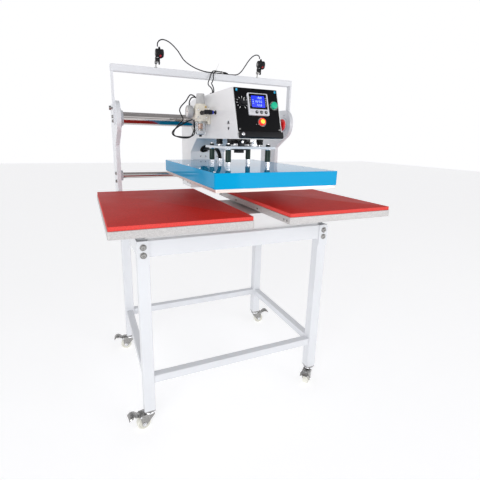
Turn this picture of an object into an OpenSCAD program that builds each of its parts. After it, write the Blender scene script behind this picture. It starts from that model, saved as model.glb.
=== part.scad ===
// Double-station pneumatic heat press on a castered stand.
// Millimetres. +X right, +Y to the back, +Z up. Origin on the floor under the middle.

/* [Stand] */
// Outside width of the stand
stand_w = 740; // [700:5:780]
// Outside depth of the stand
stand_d = 575; // [560:5:600]
// Height of the stand's top rails above the floor
stand_top = 720; // [700:5:740]
// Square leg tube size
leg = 40; // [38:1:42]
// Wall of the square tubes
tube_wall = 2; // [1.5:0.5:3]
// Height of the top rails
rail_h = 56; // [50:1:60]
// Top of the lower frame above the floor
shelf_z = 215; // [190:5:240]

/* [Tables] */
// Width of one lower table
table_w = 400; // [380:5:410]
// Depth of one lower table
table_d = 600; // [580:5:610]
// Middle of each table from the centre line
table_x = 262; // [256:1:266]
// Thickness of a table plate
table_t = 22; // [18:1:26]
// Thickness of a silicone pad
pad_t = 12; // [8:1:14]

/* [Guides] */
// Outside diameter of the upper guide tube
guide_od = 47; // [44:1:50]
// Diameter of the lower guide rod
rod_d = 25; // [20:1:30]
// Thickness of each upright
upright_t = 16; // [12:1:20]
// Radius of an upright's round head
head_r = 63; // [58:1:66]

/* [Head] */
// Where the head stands along X at rest
head_x = 20; // [0:5:60]
// Width of the head arm
arm_w = 160; // [150:5:170]
// Sheet thickness of the head arm
arm_wall = 3; // [2:0.5:4]
// Gap between heating plate and pad at rest
press_gap = 72; // [60:1:76]
// Thickness of the heating plate
plate_t = 22; // [18:1:26]

/* [Casters] */
// Wheel diameter
wheel_d = 50; // [46:1:52]
// Wheel width
wheel_w = 22; // [18:1:24]

/* [Hidden] */
$fn = 64;
eps = 0.01;

leg_z = 76;
half_w = stand_w / 2;
y_f = -192;
y_r = y_f + stand_d;
cx = half_w - leg / 2;
cyf = y_f + leg / 2;
cyr = y_r - leg / 2;
rail_z = stand_top - rail_h;
low_s = 30;
tab_y = -95;
tab_z = 790;
pad_z = tab_z + table_t;
pad_top = pad_z + pad_t;
up_x = 362;
up_y0 = 238;
up_y1 = y_r;
tube_y = 180;
tube_z = 1109;
rod_y = 274;
rod_z = 881;
las_x = 218;
las_y = 174;
bar_z = 1273;
las_z = 1318;
arm_x0 = head_x - arm_w / 2;
arm_x1 = head_x + arm_w / 2;
plate_z = pad_top + press_gap;
cover_z = plate_z + 10;
cover_top = cover_z + 44;
press_z = cover_top + 58;
lean = atan(55 / 157);
post_dx = 75;
post_dy = 80;
gp_x = 56;
gp_y = 52;
slope_a = 180 - atan(58 / 90);

steel_white = [0.93, 0.93, 0.95];
zinc = [0.75, 0.76, 0.78];
chrome_c = [0.82, 0.83, 0.85];
black = [0.05, 0.05, 0.06];

// ---------- small shapes ----------
module rsq(a, b, r) {
    translate([-a / 2 + r, -b / 2]) square([a - 2 * r, b]);
    translate([-a / 2, -b / 2 + r]) square([a, b - 2 * r]);
    for (sx = [-1, 1], sy = [-1, 1])
        translate([sx * (a / 2 - r), sy * (b / 2 - r)]) circle(r);
}

module ring2(a, b, w, r) {
    difference() {
        rsq(a, b, r);
        rsq(a - 2 * w, b - 2 * w, max(r - w, 0.4));
    }
}

// box tube along X, centred on its own axis
module tube_x(l, d, h, w, r) {
    rotate([90, 0, 90]) translate([0, 0, -l / 2])
        linear_extrude(l) ring2(d, h, w, r);
}

module tube_y2(l, d, h, w, r) {
    rotate([0, 0, 90]) tube_x(l, d, h, w, r);
}

// cylinder along X from x0 to x1
module cyl_x(x0, x1, r) {
    translate([x0, 0, 0]) rotate([0, 90, 0]) cylinder(h = x1 - x0, r = r);
}

module cyl_y(y0, y1, r) {
    translate([0, y0, 0]) rotate([-90, 0, 0]) cylinder(h = y1 - y0, r = r);
}

// hexagon bolt head on a washer, head towards +Z
module hex_head(r, h) {
    cylinder(h = 1.6, r = r * 1.32);
    translate([0, 0, 1.6]) cylinder(h = h, r = r, $fn = 6);
}

module hex_ring(r, h, bore) {
    difference() {
        cylinder(h = h, r = r, $fn = 6);
        translate([0, 0, -1]) cylinder(h = h + 2, r = bore);
    }
}

// pan head screw, head towards +Z
// button head on a washer, with a hex socket
module dome_head(r, h) {
    cylinder(h = 1.6, r = r);
    difference() {
        translate([0, 0, 1.6 - eps]) cylinder(h = h - 1.6, r1 = r - 1.5, r2 = r - 4.5);
        translate([0, 0, h - 2.4]) cylinder(h = 4, r = 3.6, $fn = 6);
    }
}

module pan(r, h) {
    cylinder(h = h * 0.6, r = r);
    translate([0, 0, h * 0.6]) cylinder(h = h * 0.4, r1 = r, r2 = r * 0.72);
}

function unit(v) = v / norm(v);
function lnorm(a, b) = let(d = unit(b - a)) [-d[1], d[0]];
function inset(p, t) = [for (i = [0:len(p) - 1])
    let(a = p[(i + len(p) - 1) % len(p)], b = p[i], c = p[(i + 1) % len(p)],
        n1 = lnorm(a, b), n2 = lnorm(b, c))
    b + t * (n1 + n2) / (1 + n1 * n2)];

// a smooth line through points, and a round tube swept along it
function cr(a, b, c, d, t) = 0.5 * ((2 * b) + (c - a) * t
    + (2 * a - 5 * b + 4 * c - d) * t * t + (3 * b - a - 3 * c + d) * t * t * t);
function ends(p) = concat([2 * p[0] - p[1]], p, [2 * p[len(p) - 1] - p[len(p) - 2]]);
function smooth(p, n) = let(q = ends(p)) [for (i = [0:len(p) - 2], k = [0:n - 1])
    cr(q[i], q[i + 1], q[i + 2], q[i + 3], k / n), if (false) 0];
function route(p, n) = concat(smooth(p, n), [p[len(p) - 1]]);
function tang(p, i) = unit(p[min(i + 1, len(p) - 1)] - p[max(i - 1, 0)]);
function carry(n, t) = unit(n - (n * t) * t);
function normals(p, n0, i = 0, acc = []) = i >= len(p) ? acc
    : let(n = carry(i == 0 ? n0 : acc[i - 1], tang(p, i))) normals(p, n0, i + 1, concat(acc, [n]));

module sweep(p, r, sides, n0) {
    ns = normals(p, n0);
    m = len(p);
    pts = [for (i = [0:m - 1], k = [0:sides - 1])
        let(t = tang(p, i), a = 360 * k / sides)
        p[i] + r * (cos(a) * ns[i] + sin(a) * cross(t, ns[i]))];
    faces = concat([[for (k = [0:sides - 1]) k]],
        [[for (k = [0:sides - 1]) (m - 1) * sides + sides - 1 - k]],
        [for (i = [0:m - 2], k = [0:sides - 1])
            [i * sides + (k + 1) % sides, i * sides + k,
             (i + 1) * sides + k, (i + 1) * sides + (k + 1) % sides]]);
    polyhedron(pts, faces, convexity = 8);
}

// places children on the sloped front of the arm: x across, y up the slope, z outwards
module on_front() {
    translate([head_x, -262, 1040]) rotate([90 - lean, 0, 0]) children();
}

// the conduit's hole on the sloped underside, z outwards
module on_slope() {
    translate([head_x - 23, 225, 1040 - 66 * 58 / 90]) rotate([slope_a, 0, 0]) children();
}

// ---------- stand ----------
module legs() {
    color(steel_white)
    for (sx = [-1, 1], f = [0, 1]) difference() {
        translate([sx * cx, f == 0 ? cyf : cyr, leg_z])
            linear_extrude(stand_top - leg_z) ring2(leg, leg, tube_wall, 3);
        for (z = [stand_top - 20, stand_top - 47])
            translate([sx * cx, 0, z]) cyl_y(f == 0 ? y_f - 1 : y_r - leg / 2, f == 0 ? y_f + leg / 2 : y_r + 1, 4.2);
    }
}

module top_rails() {
    l = stand_w - 2 * leg;
    d = stand_d - 2 * leg;
    color(steel_white) {
        translate([0, cyf, rail_z + rail_h / 2]) tube_x(l, leg, rail_h, tube_wall, 3);
        translate([0, cyr, rail_z + rail_h / 2]) tube_x(l, leg, rail_h, tube_wall, 3);
        for (s = [-1, 1]) translate([s * cx, (y_f + y_r) / 2, rail_z + rail_h / 2])
            tube_y2(d, leg, rail_h, tube_wall, 3);
    }
}

module low_rails() {
    l = stand_w - 2 * leg;
    d = stand_d - 2 * leg;
    color(steel_white) {
        translate([0, cyf, shelf_z - low_s / 2]) tube_x(l, low_s, low_s, tube_wall, 2.5);
        translate([0, cyr, shelf_z - low_s / 2]) tube_x(l, low_s, low_s, tube_wall, 2.5);
        for (s = [-1, 1]) translate([s * cx, (y_f + y_r) / 2, shelf_z - low_s / 2])
            tube_y2(d, low_s, low_s, tube_wall, 2.5);
    }
}

module corner_plate() {
    h = 84;
    difference() {
        linear_extrude(4) polygon([[-leg / 2, -h], [leg / 2, -h], [leg / 2, -6],
            [leg / 2 - 6, 0], [-leg / 2, 0]]);
        for (y = [-20, -47]) translate([0, y, -1]) cylinder(h = 6, r = 4.2);
    }
}

module corner_plates() {
    color(steel_white) {
        for (s = [-1, 1]) {
            translate([s * cx, y_f, stand_top]) rotate([90, 0, 0])
                mirror([s < 0 ? 1 : 0, 0, 0]) corner_plate();
            translate([s * cx, y_r, stand_top]) rotate([90, 0, 180])
                mirror([s > 0 ? 1 : 0, 0, 0]) corner_plate();
        }
    }
}

module frame_bolts() {
    color(zinc) {
        for (s = [-1, 1], z = [stand_top - 20, stand_top - 47]) {
            translate([s * cx, y_f - 4, z]) {
                rotate([90, 0, 0]) dome_head(11, 6);
                cyl_y(0, 12, 4);
            }
            translate([s * cx, y_r + 4, z]) {
                rotate([-90, 0, 0]) dome_head(11, 6);
                cyl_y(-12, 0, 4);
            }
        }
        // upright feet
        for (s = [-1, 1], y = [up_y0 + 8, up_y0 + 102])
            translate([s * 348, y, stand_top + 8]) hex_head(6.5, 5);
        // laser post bolts and rod bolts on the outer faces
        for (s = [-1, 1]) {
            for (z = [1113, 1097]) translate([s * (up_x + upright_t + 8), las_y, z])
                rotate([0, s * 90, 0]) hex_head(5, 4);
            for (z = [rod_z + 8, rod_z - 25]) translate([s * (up_x + upright_t), rod_y + 6, z])
                rotate([0, s * 90, 0]) hex_head(6, 4);
            translate([s * (up_x + upright_t + 8), las_y, 1144]) rotate([0, s * 90, 0]) {
                cylinder(h = 5, r = 4);
                translate([0, 0, 5]) cylinder(h = 8, r = 8);
            }
        }
        // laser pins on the bar
        for (s = [-1, 1]) translate([s * las_x, las_y, bar_z + 25]) {
            cylinder(h = 4, r = 5.5, $fn = 6);
            cylinder(h = 15, r = 2.5);
            translate([0, 0, 20]) difference() {
                cyl_x(-4, 4, 6);
                cyl_x(-5, 5, 2);
            }
        }
        // table side screws
        for (s = [-1, 1], y = [-380, -362, -180, 10, 180])
            translate([s * (table_x - table_w / 2 - 2), y, tab_z + 9])
                rotate([0, -s * 90, 0]) pan(3.6, 2.4);
    }
}

module bed_tray() {
    x = half_w - 30;
    color(steel_white) {
        difference() {
            translate([-x, -172, stand_top]) cube([2 * x, 300, 60]);
            translate([-x + 3, -169, stand_top - 1]) cube([2 * x - 6, 294, 58]);
        }
        for (s = [-1, 1], bx = [132, 307])
            translate([s > 0 ? bx : -bx - 25, -172, stand_top + 60 - eps])
                cube([25, 300, tab_z - stand_top - 60 + eps]);
    }
}

module table_base(s) {
    color([0.78, 0.79, 0.8])
        translate([s * table_x, tab_y, tab_z])
            linear_extrude(table_t) rsq(table_w + 4, table_d + 4, 4);
}
module table_base_left() table_base(-1);
module table_base_right() table_base(1);

module pad(s) {
    color([0.66, 0.1, 0.09])
        translate([s * table_x, tab_y, pad_z]) linear_extrude(pad_t) rsq(table_w, table_d, 3);
}
module pad_left() pad(-1);
module pad_right() pad(1);

// side outline of an upright, drawn in Y and Z
module upright_2d() {
    difference() {
        union() {
            polygon([[tube_y + head_r * cos(241), tube_z + head_r * sin(241)], [up_y0, 1005],
                [up_y0, stand_top + 8], [up_y1, stand_top + 8], [up_y1, tube_z + head_r - 20],
                [up_y1 - 20, tube_z + head_r], [tube_y, tube_z + head_r], [tube_y, tube_z]]);
            translate([up_y1 - 20, tube_z + head_r - 20]) circle(20);
            translate([tube_y, tube_z]) circle(head_r);
        }
        translate([172, 1151]) circle(4);
        translate([172 + 80, 1151]) circle(4);
    }
}

module upright(s) {
    color(steel_white) {
        translate([s > 0 ? up_x : -up_x - upright_t, 0, 0])
            rotate([90, 0, 90]) linear_extrude(upright_t) upright_2d();
        // foot on the side rail
        translate([s > 0 ? 326 : -up_x - upright_t, up_y0 - 8, stand_top])
            cube([up_x + upright_t - 326, 126, 8]);
        // gusset
        translate([0, up_y0 + 52, stand_top + 8 - eps]) rotate([90, 0, 0]) linear_extrude(6)
            polygon([[s * (up_x + 1), 0], [s * 330, 0], [s * (up_x + 1), 60]]);
    }
}
module upright_left() upright(-1);
module upright_right() upright(1);

module guide_tube() {
    color(chrome_c) translate([0, tube_y, tube_z]) difference() {
        cyl_x(-up_x, up_x, guide_od / 2);
        cyl_x(-up_x - 1, up_x + 1, guide_od / 2 - 3);
    }
}

module guide_rod() {
    color(chrome_c) translate([0, rod_y, rod_z]) cyl_x(-up_x, up_x, rod_d / 2);
}

module guide_flanges() {
    color([0.2, 0.2, 0.21]) {
        for (s = [-1, 1]) {
            translate([0, tube_y, tube_z]) difference() {
                union() {
                    cyl_x(s > 0 ? up_x - 6 : -up_x, s > 0 ? up_x : -up_x + 6, 34);
                    cyl_x(s > 0 ? up_x - 12 : -up_x, s > 0 ? up_x : -up_x + 12, 28);
                }
                cyl_x(-up_x - 1, up_x + 1, guide_od / 2 + 0.1);
            }
            translate([0, rod_y, rod_z]) difference() {
                cyl_x(s > 0 ? up_x - 9 : -up_x, s > 0 ? up_x : -up_x + 9, 22);
                cyl_x(-up_x - 1, up_x + 1, rod_d / 2 + 0.1);
            }
        }
    }
}

module laser_frame() {
    x = up_x + upright_t;
    color(steel_white) {
        for (s = [-1, 1])
            translate([s > 0 ? x : -x - 8, las_y - 12.5, 1084]) cube([8, 25, bar_z - 1084 + eps]);
        translate([0, las_y, bar_z + 12.5]) tube_x(2 * x + 16, 25, 25, 2, 2);
    }
}

// line laser clipped to its pin, aimed down at the table in front
module laser_head() {
    color(black) {
        cyl_x(-9, 9, 1.95);
        for (s = [-1, 1]) translate([s > 0 ? 4.3 : -8.3, 0, 0]) {
            translate([0, -6, 0]) cube([4, 12, 20]);
            cyl_x(0, 4, 7);
        }
        translate([-8.3, -6, 10]) cube([16.6, 12, 14]);
        translate([8, 0, 0]) {
            translate([0, 0, 34]) {
                cyl_x(-15, 15, 15);
                rotate([35, 0, 0]) cyl_y(-24, 4, 10);
            }
            translate([0, 0, 47]) cylinder(h = 9, r = 4.5);
        }
    }
}
module laser_left() translate([-las_x, las_y, las_z]) laser_head();
module laser_right() translate([las_x, las_y, las_z]) laser_head();

// ---------- casters ----------
// each row: place on X, place on Y, turn of the trailing wheel
cast = [["fl", -1, cyf, 188], ["fr", 1, cyf, 222], ["rl", -1, cyr, 172], ["rr", 1, cyr, -8]];
trail = 24;
whl_r = wheel_d / 2;

module caster_plates() {
    color(zinc) for (c = cast) translate([c[1] * cx, c[2], 0]) {
        translate([0, 0, leg_z - 4]) linear_extrude(4) rsq(leg, leg, 3);
        translate([0, 0, leg_z - 8]) cylinder(h = 4 + eps, r = 13);
        translate([0, 0, 57]) cylinder(h = 12, r = 5);
    }
}

module caster_fork(c) {
    color(zinc) translate([c[1] * cx, c[2], 0]) rotate([0, 0, c[3]]) {
        difference() {
            union() {
                translate([0, 0, 56]) cylinder(h = 11.7, r = 19.5);
                translate([-10, -16.5, 56]) cube([36.01, 33, 7]);
                for (y = [-16.5, 10.5]) translate([26, y, 55]) cube([14, 6, 9]);
                for (y = [13.5, -16.5]) translate([0, y + 3, 0]) rotate([90, 0, 0]) linear_extrude(3)
                    polygon([[-12, 60], [34, 60], [trail + 9, whl_r - 9], [trail - 9, whl_r - 9]]);
            }
            translate([0, 0, 50]) cylinder(h = 20, r = 5.05);
        }
        translate([trail, 0, whl_r]) {
            cyl_y(-18, 18, 3.95);
            for (a = [90, -90]) rotate([a, 0, 0]) translate([0, 0, 16.5]) cylinder(h = 3, r = 6.5, $fn = 6);
        }
        translate([36, 0, 59.5]) cyl_y(-13, 13, 1.95);
    }
}
module caster_fork_fl() caster_fork(cast[0]);
module caster_fork_fr() caster_fork(cast[1]);
module caster_fork_rl() caster_fork(cast[2]);
module caster_fork_rr() caster_fork(cast[3]);

module caster_wheel(c) {
    color([0.86, 0.82, 0.72]) translate([c[1] * cx, c[2], 0]) rotate([0, 0, c[3]])
        translate([trail, 0, whl_r]) rotate([90, 0, 0]) rotate_extrude()
            polygon([[4, -12.8], [9, -12.8], [9, -8], [whl_r - 6, -8], [whl_r - 6, -wheel_w / 2],
                [whl_r - 2, -wheel_w / 2], [whl_r, -wheel_w / 2 + 2.5], [whl_r, wheel_w / 2 - 2.5],
                [whl_r - 2, wheel_w / 2], [whl_r - 6, wheel_w / 2], [whl_r - 6, 8],
                [9, 8], [9, 12.8], [4, 12.8]]);
}
module caster_wheel_fl() caster_wheel(cast[0]);
module caster_wheel_fr() caster_wheel(cast[1]);
module caster_wheel_rl() caster_wheel(cast[2]);
module caster_wheel_rr() caster_wheel(cast[3]);

// brake pedal hinged on the fork, above and beyond the wheel
module caster_pedal(c) {
    color(zinc) translate([c[1] * cx, c[2], 0]) rotate([0, 0, c[3]]) translate([36, 0, 59.5]) {
        difference() {
            union() {
                cyl_y(-10, 10, 4);
                rotate([90, 0, 0]) translate([0, 0, -7.5]) linear_extrude(15)
                    polygon([[3, -2.5], [22, 8], [32, 8], [32, 12], [20, 12], [-1, 3.9]]);
                translate([31, 0, 8]) linear_extrude(4) rsq(24, 38, 6);
            }
            cyl_y(-11, 11, 2);
        }
    }
}
module caster_pedal_fl() caster_pedal(cast[0]);
module caster_pedal_fr() caster_pedal(cast[1]);
module caster_pedal_rl() caster_pedal(cast[2]);
module caster_pedal_rr() caster_pedal(cast[3]);

// ---------- carriage ----------
arm_pts = [[-262, 1040], [159, 1040], [249, 982], [249, 822], [397, 822], [397, 1085],
    [375, 1122], [330, 1158], [273, 1186], [204, 1197], [-207, 1197]];

module arm_shell() {
    color(steel_white) difference() {
        translate([arm_x0, 0, 0]) rotate([90, 0, 90]) linear_extrude(arm_w) polygon(arm_pts);
        translate([arm_x0 + arm_wall, 0, 0]) rotate([90, 0, 90])
            linear_extrude(arm_w - 2 * arm_wall) polygon(inset(arm_pts, arm_wall));
        // sleeves for the tube and the rod
        translate([0, tube_y, tube_z]) cyl_x(arm_x0 - 1, arm_x1 + 1, 34);
        translate([0, rod_y, rod_z]) cyl_x(arm_x0 - 1, arm_x1 + 1, 20);
        // front opening behind the panel
        on_front() translate([0, 95, 0]) cube([arm_w - 20, 128, 12], center = true);
        // underside openings for the cylinder and the guide posts
        translate([head_x, tab_y, 1035]) cylinder(h = 12, r = 33.2);
        for (sx = [-1, 1], sy = [-1, 1])
            translate([head_x + sx * gp_x, tab_y + sy * gp_y, 1035]) cylinder(h = 12, r = 12.2);
        // conduit hole in the sloped underside
        on_slope() translate([0, 0, -10]) linear_extrude(20) rsq(32.4, 50.4, 16.2);
        // hose hole in the left side
        translate([0, -66, 1129]) cyl_x(arm_x0 - 1, arm_x0 + 4, 4.3);
        // stop button hole
        translate([0, -222, 1088]) cyl_x(arm_x1 - 4, arm_x1 + 1, 8.3);
        // cable hole in the top
        translate([-48, -4, 1190]) cylinder(h = 12, r = 9.2);
    }
}

module control_panel() {
    color(black) on_front() difference() {
        translate([0, 94, 0.05]) linear_extrude(2.5) rsq(152, 142, 2);
        translate([58, 110, -2]) cylinder(h = 8, r = 11.3);
        translate([8, 54, -2]) cylinder(h = 8, r = 11.3);
        translate([-52, 116, -2]) cylinder(h = 8, r = 3.3);
        translate([1, 111, -2]) cube([62, 62, 12], center = true);
    }
}

module controller_bezel() {
    color([0.8, 0.8, 0.82]) on_front() translate([1, 111, 0]) difference() {
        union() {
            translate([0, 0, 2.6]) linear_extrude(7) rsq(72, 72, 4);
            translate([0, 0, -24]) linear_extrude(27) rsq(61, 61, 2);
        }
        translate([0, 8, 6]) linear_extrude(6) rsq(48, 38, 1);
        for (x = [-9, 7.5, 24]) translate([x, -26, -1]) cylinder(h = 14, r = 5.2);
    }
}

module lcd() {
    color([0.1, 0.15, 0.9]) on_front() translate([1, 119, 6]) linear_extrude(1.6) rsq(47.8, 37.8, 0.9);
}

module key(x) {
    color(black) on_front() translate([1 + x, 85, 3.2]) {
        cylinder(h = 8.4, r = 4.9);
    }
}
module key_left() key(-9);
module key_mid() key(7.5);
module key_right() key(24);

module push(x, y, r) {
    on_front() translate([x, y, 0]) {
        translate([0, 0, -14]) cylinder(h = 14 + 9, r = 9);
        translate([0, 0, 7]) cylinder(h = 7, r = r);
    }
}
module button_green() color([0.05, 0.55, 0.36]) push(58, 110, 11);
module button_red() color([0.9, 0.25, 0.05]) push(8, 54, 11);

module timer_knob() {
    color(black) on_front() translate([-52, 116, 0]) {
        translate([0, 0, -12]) cylinder(h = 18, r = 3.2);
        difference() {
            translate([0, 0, 3.2]) cylinder(h = 13, r = 11);
            for (a = [0:30:330]) rotate([0, 0, a]) translate([11.8, 0, 0]) cylinder(h = 20, r = 1.5, $fn = 24);
        }
    }
}

module estop() {
    color([0.75, 0.04, 0.04]) translate([0, -222, 1088]) {
        cyl_x(arm_x1 - 16, arm_x1 + 12, 8);
        cyl_x(arm_x1 + 12, arm_x1 + 24, 19);
    }
}

// bushes, button rings, panel screws and plate screws
module carriage_trim() {
    color(zinc) {
        for (s = [-1, 1]) {
            translate([0, tube_y, tube_z]) difference() {
                union() {
                    cyl_x(s > 0 ? arm_x1 : arm_x0 - 7, s > 0 ? arm_x1 + 7 : arm_x0, 42);
                    cyl_x(s > 0 ? arm_x1 - 40 : arm_x0 - 1, s > 0 ? arm_x1 + 1 : arm_x0 + 40, 33.9);
                }
                cyl_x(arm_x0 - 20, arm_x1 + 20, guide_od / 2 + 0.06);
            }
            translate([0, rod_y, rod_z]) difference() {
                union() {
                    cyl_x(s > 0 ? arm_x1 : arm_x0 - 5, s > 0 ? arm_x1 + 5 : arm_x0, 24);
                    cyl_x(s > 0 ? arm_x1 - 30 : arm_x0 - 1, s > 0 ? arm_x1 + 1 : arm_x0 + 30, 19.9);
                }
                cyl_x(arm_x0 - 20, arm_x1 + 20, rod_d / 2 + 0.05);
            }
        }
        on_front() {
            for (p = [[58, 110], [8, 54]]) translate([p[0], p[1], 2.6]) difference() {
                cylinder(h = 4, r = 14.5);
                translate([0, 0, -1]) cylinder(h = 6, r = 11.25);
            }
            for (p = [[-70, 31], [70, 31], [-68, 158], [68, 158]])
                translate([p[0], p[1], 2.6]) pan(3.4, 2.4);
        }
        translate([0, -222, 1088]) difference() {
            cyl_x(arm_x1, arm_x1 + 5, 15);
            cyl_x(arm_x1 - 5, arm_x1 + 10, 8.3);
        }
        // screws on the column front
        for (dx = [-34, -11, 22, 45], z = [962, 932])
            translate([head_x + dx, 249, z]) rotate([90, 0, 0]) pan(3, 2);
        // screws on the side faces
        for (s = [-1, 1], p = [[262, 842], [384, 842], [300, 842]])
            translate([s > 0 ? arm_x1 : arm_x0, p[0], p[1]]) rotate([0, s * 90, 0]) pan(4.5, 3);
    }
}

module handle_bar() {
    color(black) on_front() translate([0, 11.5, 0]) {
        translate([0, 0, 0.1]) rotate([90, 0, 90]) translate([0, 7, -arm_w / 2 + 4])
            linear_extrude(arm_w - 8) rsq(20, 14, 4);
    }
}

reg_x = head_x - 114;
module regulator_body() {
    color([0.85, 0.82, 0.74]) translate([reg_x, 5, 0]) {
        translate([0, 0, 1106]) linear_extrude(46) rsq(50, 42, 5);
        translate([0, 0, 1152 - eps]) linear_extrude(9) rsq(40, 38, 8);
        translate([0, 0, 1100]) cylinder(h = 6 + eps, r = 21);
        translate([24, -10, 1120]) cube([arm_x0 - reg_x - 24, 20, 26]);
    }
}

module regulator_knob() {
    color([0.62, 0.62, 0.62]) translate([reg_x, 5, 1161.3]) difference() {
        union() {
            cylinder(h = 26, r = 16.5);
            translate([0, 0, 26 - eps]) cylinder(h = 9, r1 = 16.5, r2 = 14.5);
        }
        for (a = [0:20:340]) rotate([0, 0, a]) translate([17.4, 0, 4]) cylinder(h = 40, r = 1.5, $fn = 20);
    }
}

module gauge() {
    color([0.3, 0.3, 0.31]) translate([reg_x, 5, 1133]) {
        cyl_x(-31, -25, 6);
        cyl_x(-52, -31 + eps, 21);
    }
}

module bowl() {
    color([0.8, 0.85, 0.88, 0.5]) translate([reg_x, 5, 0]) {
        difference() {
            union() {
                translate([0, 0, 1058]) cylinder(h = 42, r = 19);
                translate([0, 0, 1052]) cylinder(h = 6 + eps, r1 = 13, r2 = 19);
            }
            translate([0, 0, 1060]) cylinder(h = 42, r = 16.5);
        }
        translate([0, 0, 1045]) cylinder(h = 7 + eps, r = 5.5);
    }
}

// elbow fitting with its short hose, conduit bush and side louvre
module black_fittings() {
    color(black) {
        translate([0, -16, 1129]) {
            translate([reg_x - 2, 0, 0]) {
                cyl_y(-50, 0, 6);
                translate([0, -50, 0]) cyl_x(-7, 22, 7.5);
                translate([0, -50, 0]) cyl_x(22 - eps, 26, 6);
            }
            translate([0, -50, 0]) cyl_x(reg_x + 24 - eps, arm_x0 + 2, 4);
        }
        on_slope() difference() {
            union() {
                linear_extrude(4) rsq(38, 54, 19);
                translate([0, 0, -4]) linear_extrude(4 + eps) rsq(32, 50, 16);
            }
            translate([0, 0, -6]) linear_extrude(20) rsq(28, 46, 14);
        }
        translate([arm_x0, -188, 1086]) rotate([0, -90, 0]) {
            difference() {
                cylinder(h = 6, r = 14);
                translate([0, 0, 1]) cylinder(h = 6, r = 10.5);
                translate([-30, -20, -1]) cube([30, 40, 10]);
            }
            translate([-13, 0, 0]) cylinder(h = 4, r = 4);
        }
        // cable bush on top
        translate([-48, -4, 0]) difference() {
            union() {
                translate([0, 0, 1197]) cylinder(h = 3, r = 12);
                translate([0, 0, 1193]) cylinder(h = 4 + eps, r = 9);
            }
            translate([0, 0, 1190]) cylinder(h = 12, r = 7);
        }
    }
}

module cylinder_set() {
    color(black) translate([head_x, tab_y, 0]) {
        difference() {
            union() {
                translate([0, 0, 1043]) cylinder(h = 110, r = 44);
                translate([0, 0, 1033]) cylinder(h = 10 + eps, r = 33);
            }
            translate([0, 0, 1030]) cylinder(h = 118, r = 12.55);
        }
        for (sx = [-1, 1], sy = [-1, 1]) translate([sx * gp_x, sy * gp_y, 0]) difference() {
            union() {
                translate([0, 0, 1043]) cylinder(h = 24, r = 16);
                translate([0, 0, 1032]) cylinder(h = 11 + eps, r = 12);
            }
            translate([0, 0, 1030]) cylinder(h = 60, r = 8.05);
        }
    }
}

// ---------- press body ----------
module pressure_plate() {
    color(steel_white) translate([head_x, tab_y, press_z])
        linear_extrude(8) rsq(190, 200, 4);
}

module posts() {
    color([0.06, 0.12, 0.1]) translate([head_x, tab_y, 0]) {
        for (sx = [-1, 1], sy = [-1, 1]) translate([sx * post_dx, sy * post_dy, 0]) {
            translate([0, 0, cover_top + 14]) cylinder(h = press_z - cover_top - 14, r = 10);
            translate([0, 0, press_z + 8]) cylinder(h = 8, r = 9, $fn = 6);
        }
        translate([0, 0, press_z - 6]) cylinder(h = 6, r = 34);
        translate([0, 0, press_z - 16]) cylinder(h = 10 + eps, r = 20, $fn = 6);
    }
}

// piston rod, guide rods, nuts on the platen and the conduit gland
module press_rods() {
    color(zinc) {
        translate([head_x, tab_y, 0]) {
            for (sx = [-1, 1], sy = [-1, 1]) translate([sx * post_dx, sy * post_dy, cover_top]) {
                cylinder(h = 6, r = 9.5, $fn = 6);
                translate([0, 0, 7]) cylinder(h = 7, r = 8.5, $fn = 6);
                translate([0, 0, 5]) cylinder(h = 3, r = 5);
            }
            translate([0, 0, press_z + 8]) cylinder(h = 124, r = 12.5);
            for (sx = [-1, 1], sy = [-1, 1])
                translate([sx * gp_x, sy * gp_y, press_z + 8]) cylinder(h = 100, r = 8);
        }
        translate([head_x - 22, 40, cover_top]) difference() {
            union() {
                cylinder(h = 8, r = 12, $fn = 6);
                cylinder(h = 15, r = 10);
            }
            translate([0, 0, 2]) cylinder(h = 30, r = 8);
        }
    }
}

module platen_cover() {
    color([0.0, 0.62, 0.86]) translate([head_x, tab_y, 0]) difference() {
        translate([0, 0, cover_z]) linear_extrude(cover_top - cover_z) rsq(408, 604, 6);
        translate([0, 0, cover_z - 1]) linear_extrude(cover_top - cover_z - 1) rsq(404, 600.2, 4);
    }
}

module heating_plate() {
    color([0.83, 0.78, 0.77]) translate([head_x, tab_y, plate_z])
        linear_extrude(plate_t) rsq(400, 598, 3);
}

// ---------- cables, tubes and conduit ----------
tube_a = [[-61.4, 108, 1180], [-76, 104, 1189], [-92, 90, 1197], [-111, 80, 1198], [-127, 79, 1176],
    [-147, 78, 1155], [-153, 76, 1140], [-148, 74, 1125], [-142, 72, 1108], [-160, 70, 1088],
    [-176, 66, 1069], [-181, 60, 1052], [-165, 54, 1043], [-138, 46, 1040], [-119, 41, 1047],
    [-108, 39, 1072], [-101, 39, 1098], [-99, 38, 1113], [-99, 33, 1121], [-99, 26.8, 1122]];
tube_b = [[-61.4, 92, 1176], [-78, 84, 1186], [-98, 66, 1190], [-115, 50, 1184], [-125, 42, 1168],
    [-123, 39, 1152], [-114, 36, 1143], [-112, 31, 1140.5], [-112, 26.8, 1140]];
tube_c = [[-109, 26.8, 1112], [-109.5, 34, 1111.5], [-119, 43, 1106], [-137, 47, 1098], [-162, 50, 1083],
    [-183, 50, 1068], [-190, 47, 1056], [-182, 42, 1047], [-158, 37, 1044], [-128, 29, 1045],
    [-113, 23, 1054], [-112, 22, 1070], [-114, 21.5, 1090], [-114, 21.5, 1105.6]];
las_a = [[-210, 174, 1374.3], [-209, 174, 1386], [-202, 174, 1396], [-189, 174, 1401],
    [-172, 174, 1398], [-155, 174, 1389], [-133, 174, 1370], [-119, 174, 1352],
    [-106, 173, 1336], [-84, 173, 1322], [-52, 172, 1309], [-16, 171, 1302],
    [30, 170, 1301], [76, 168, 1301]];
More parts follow.
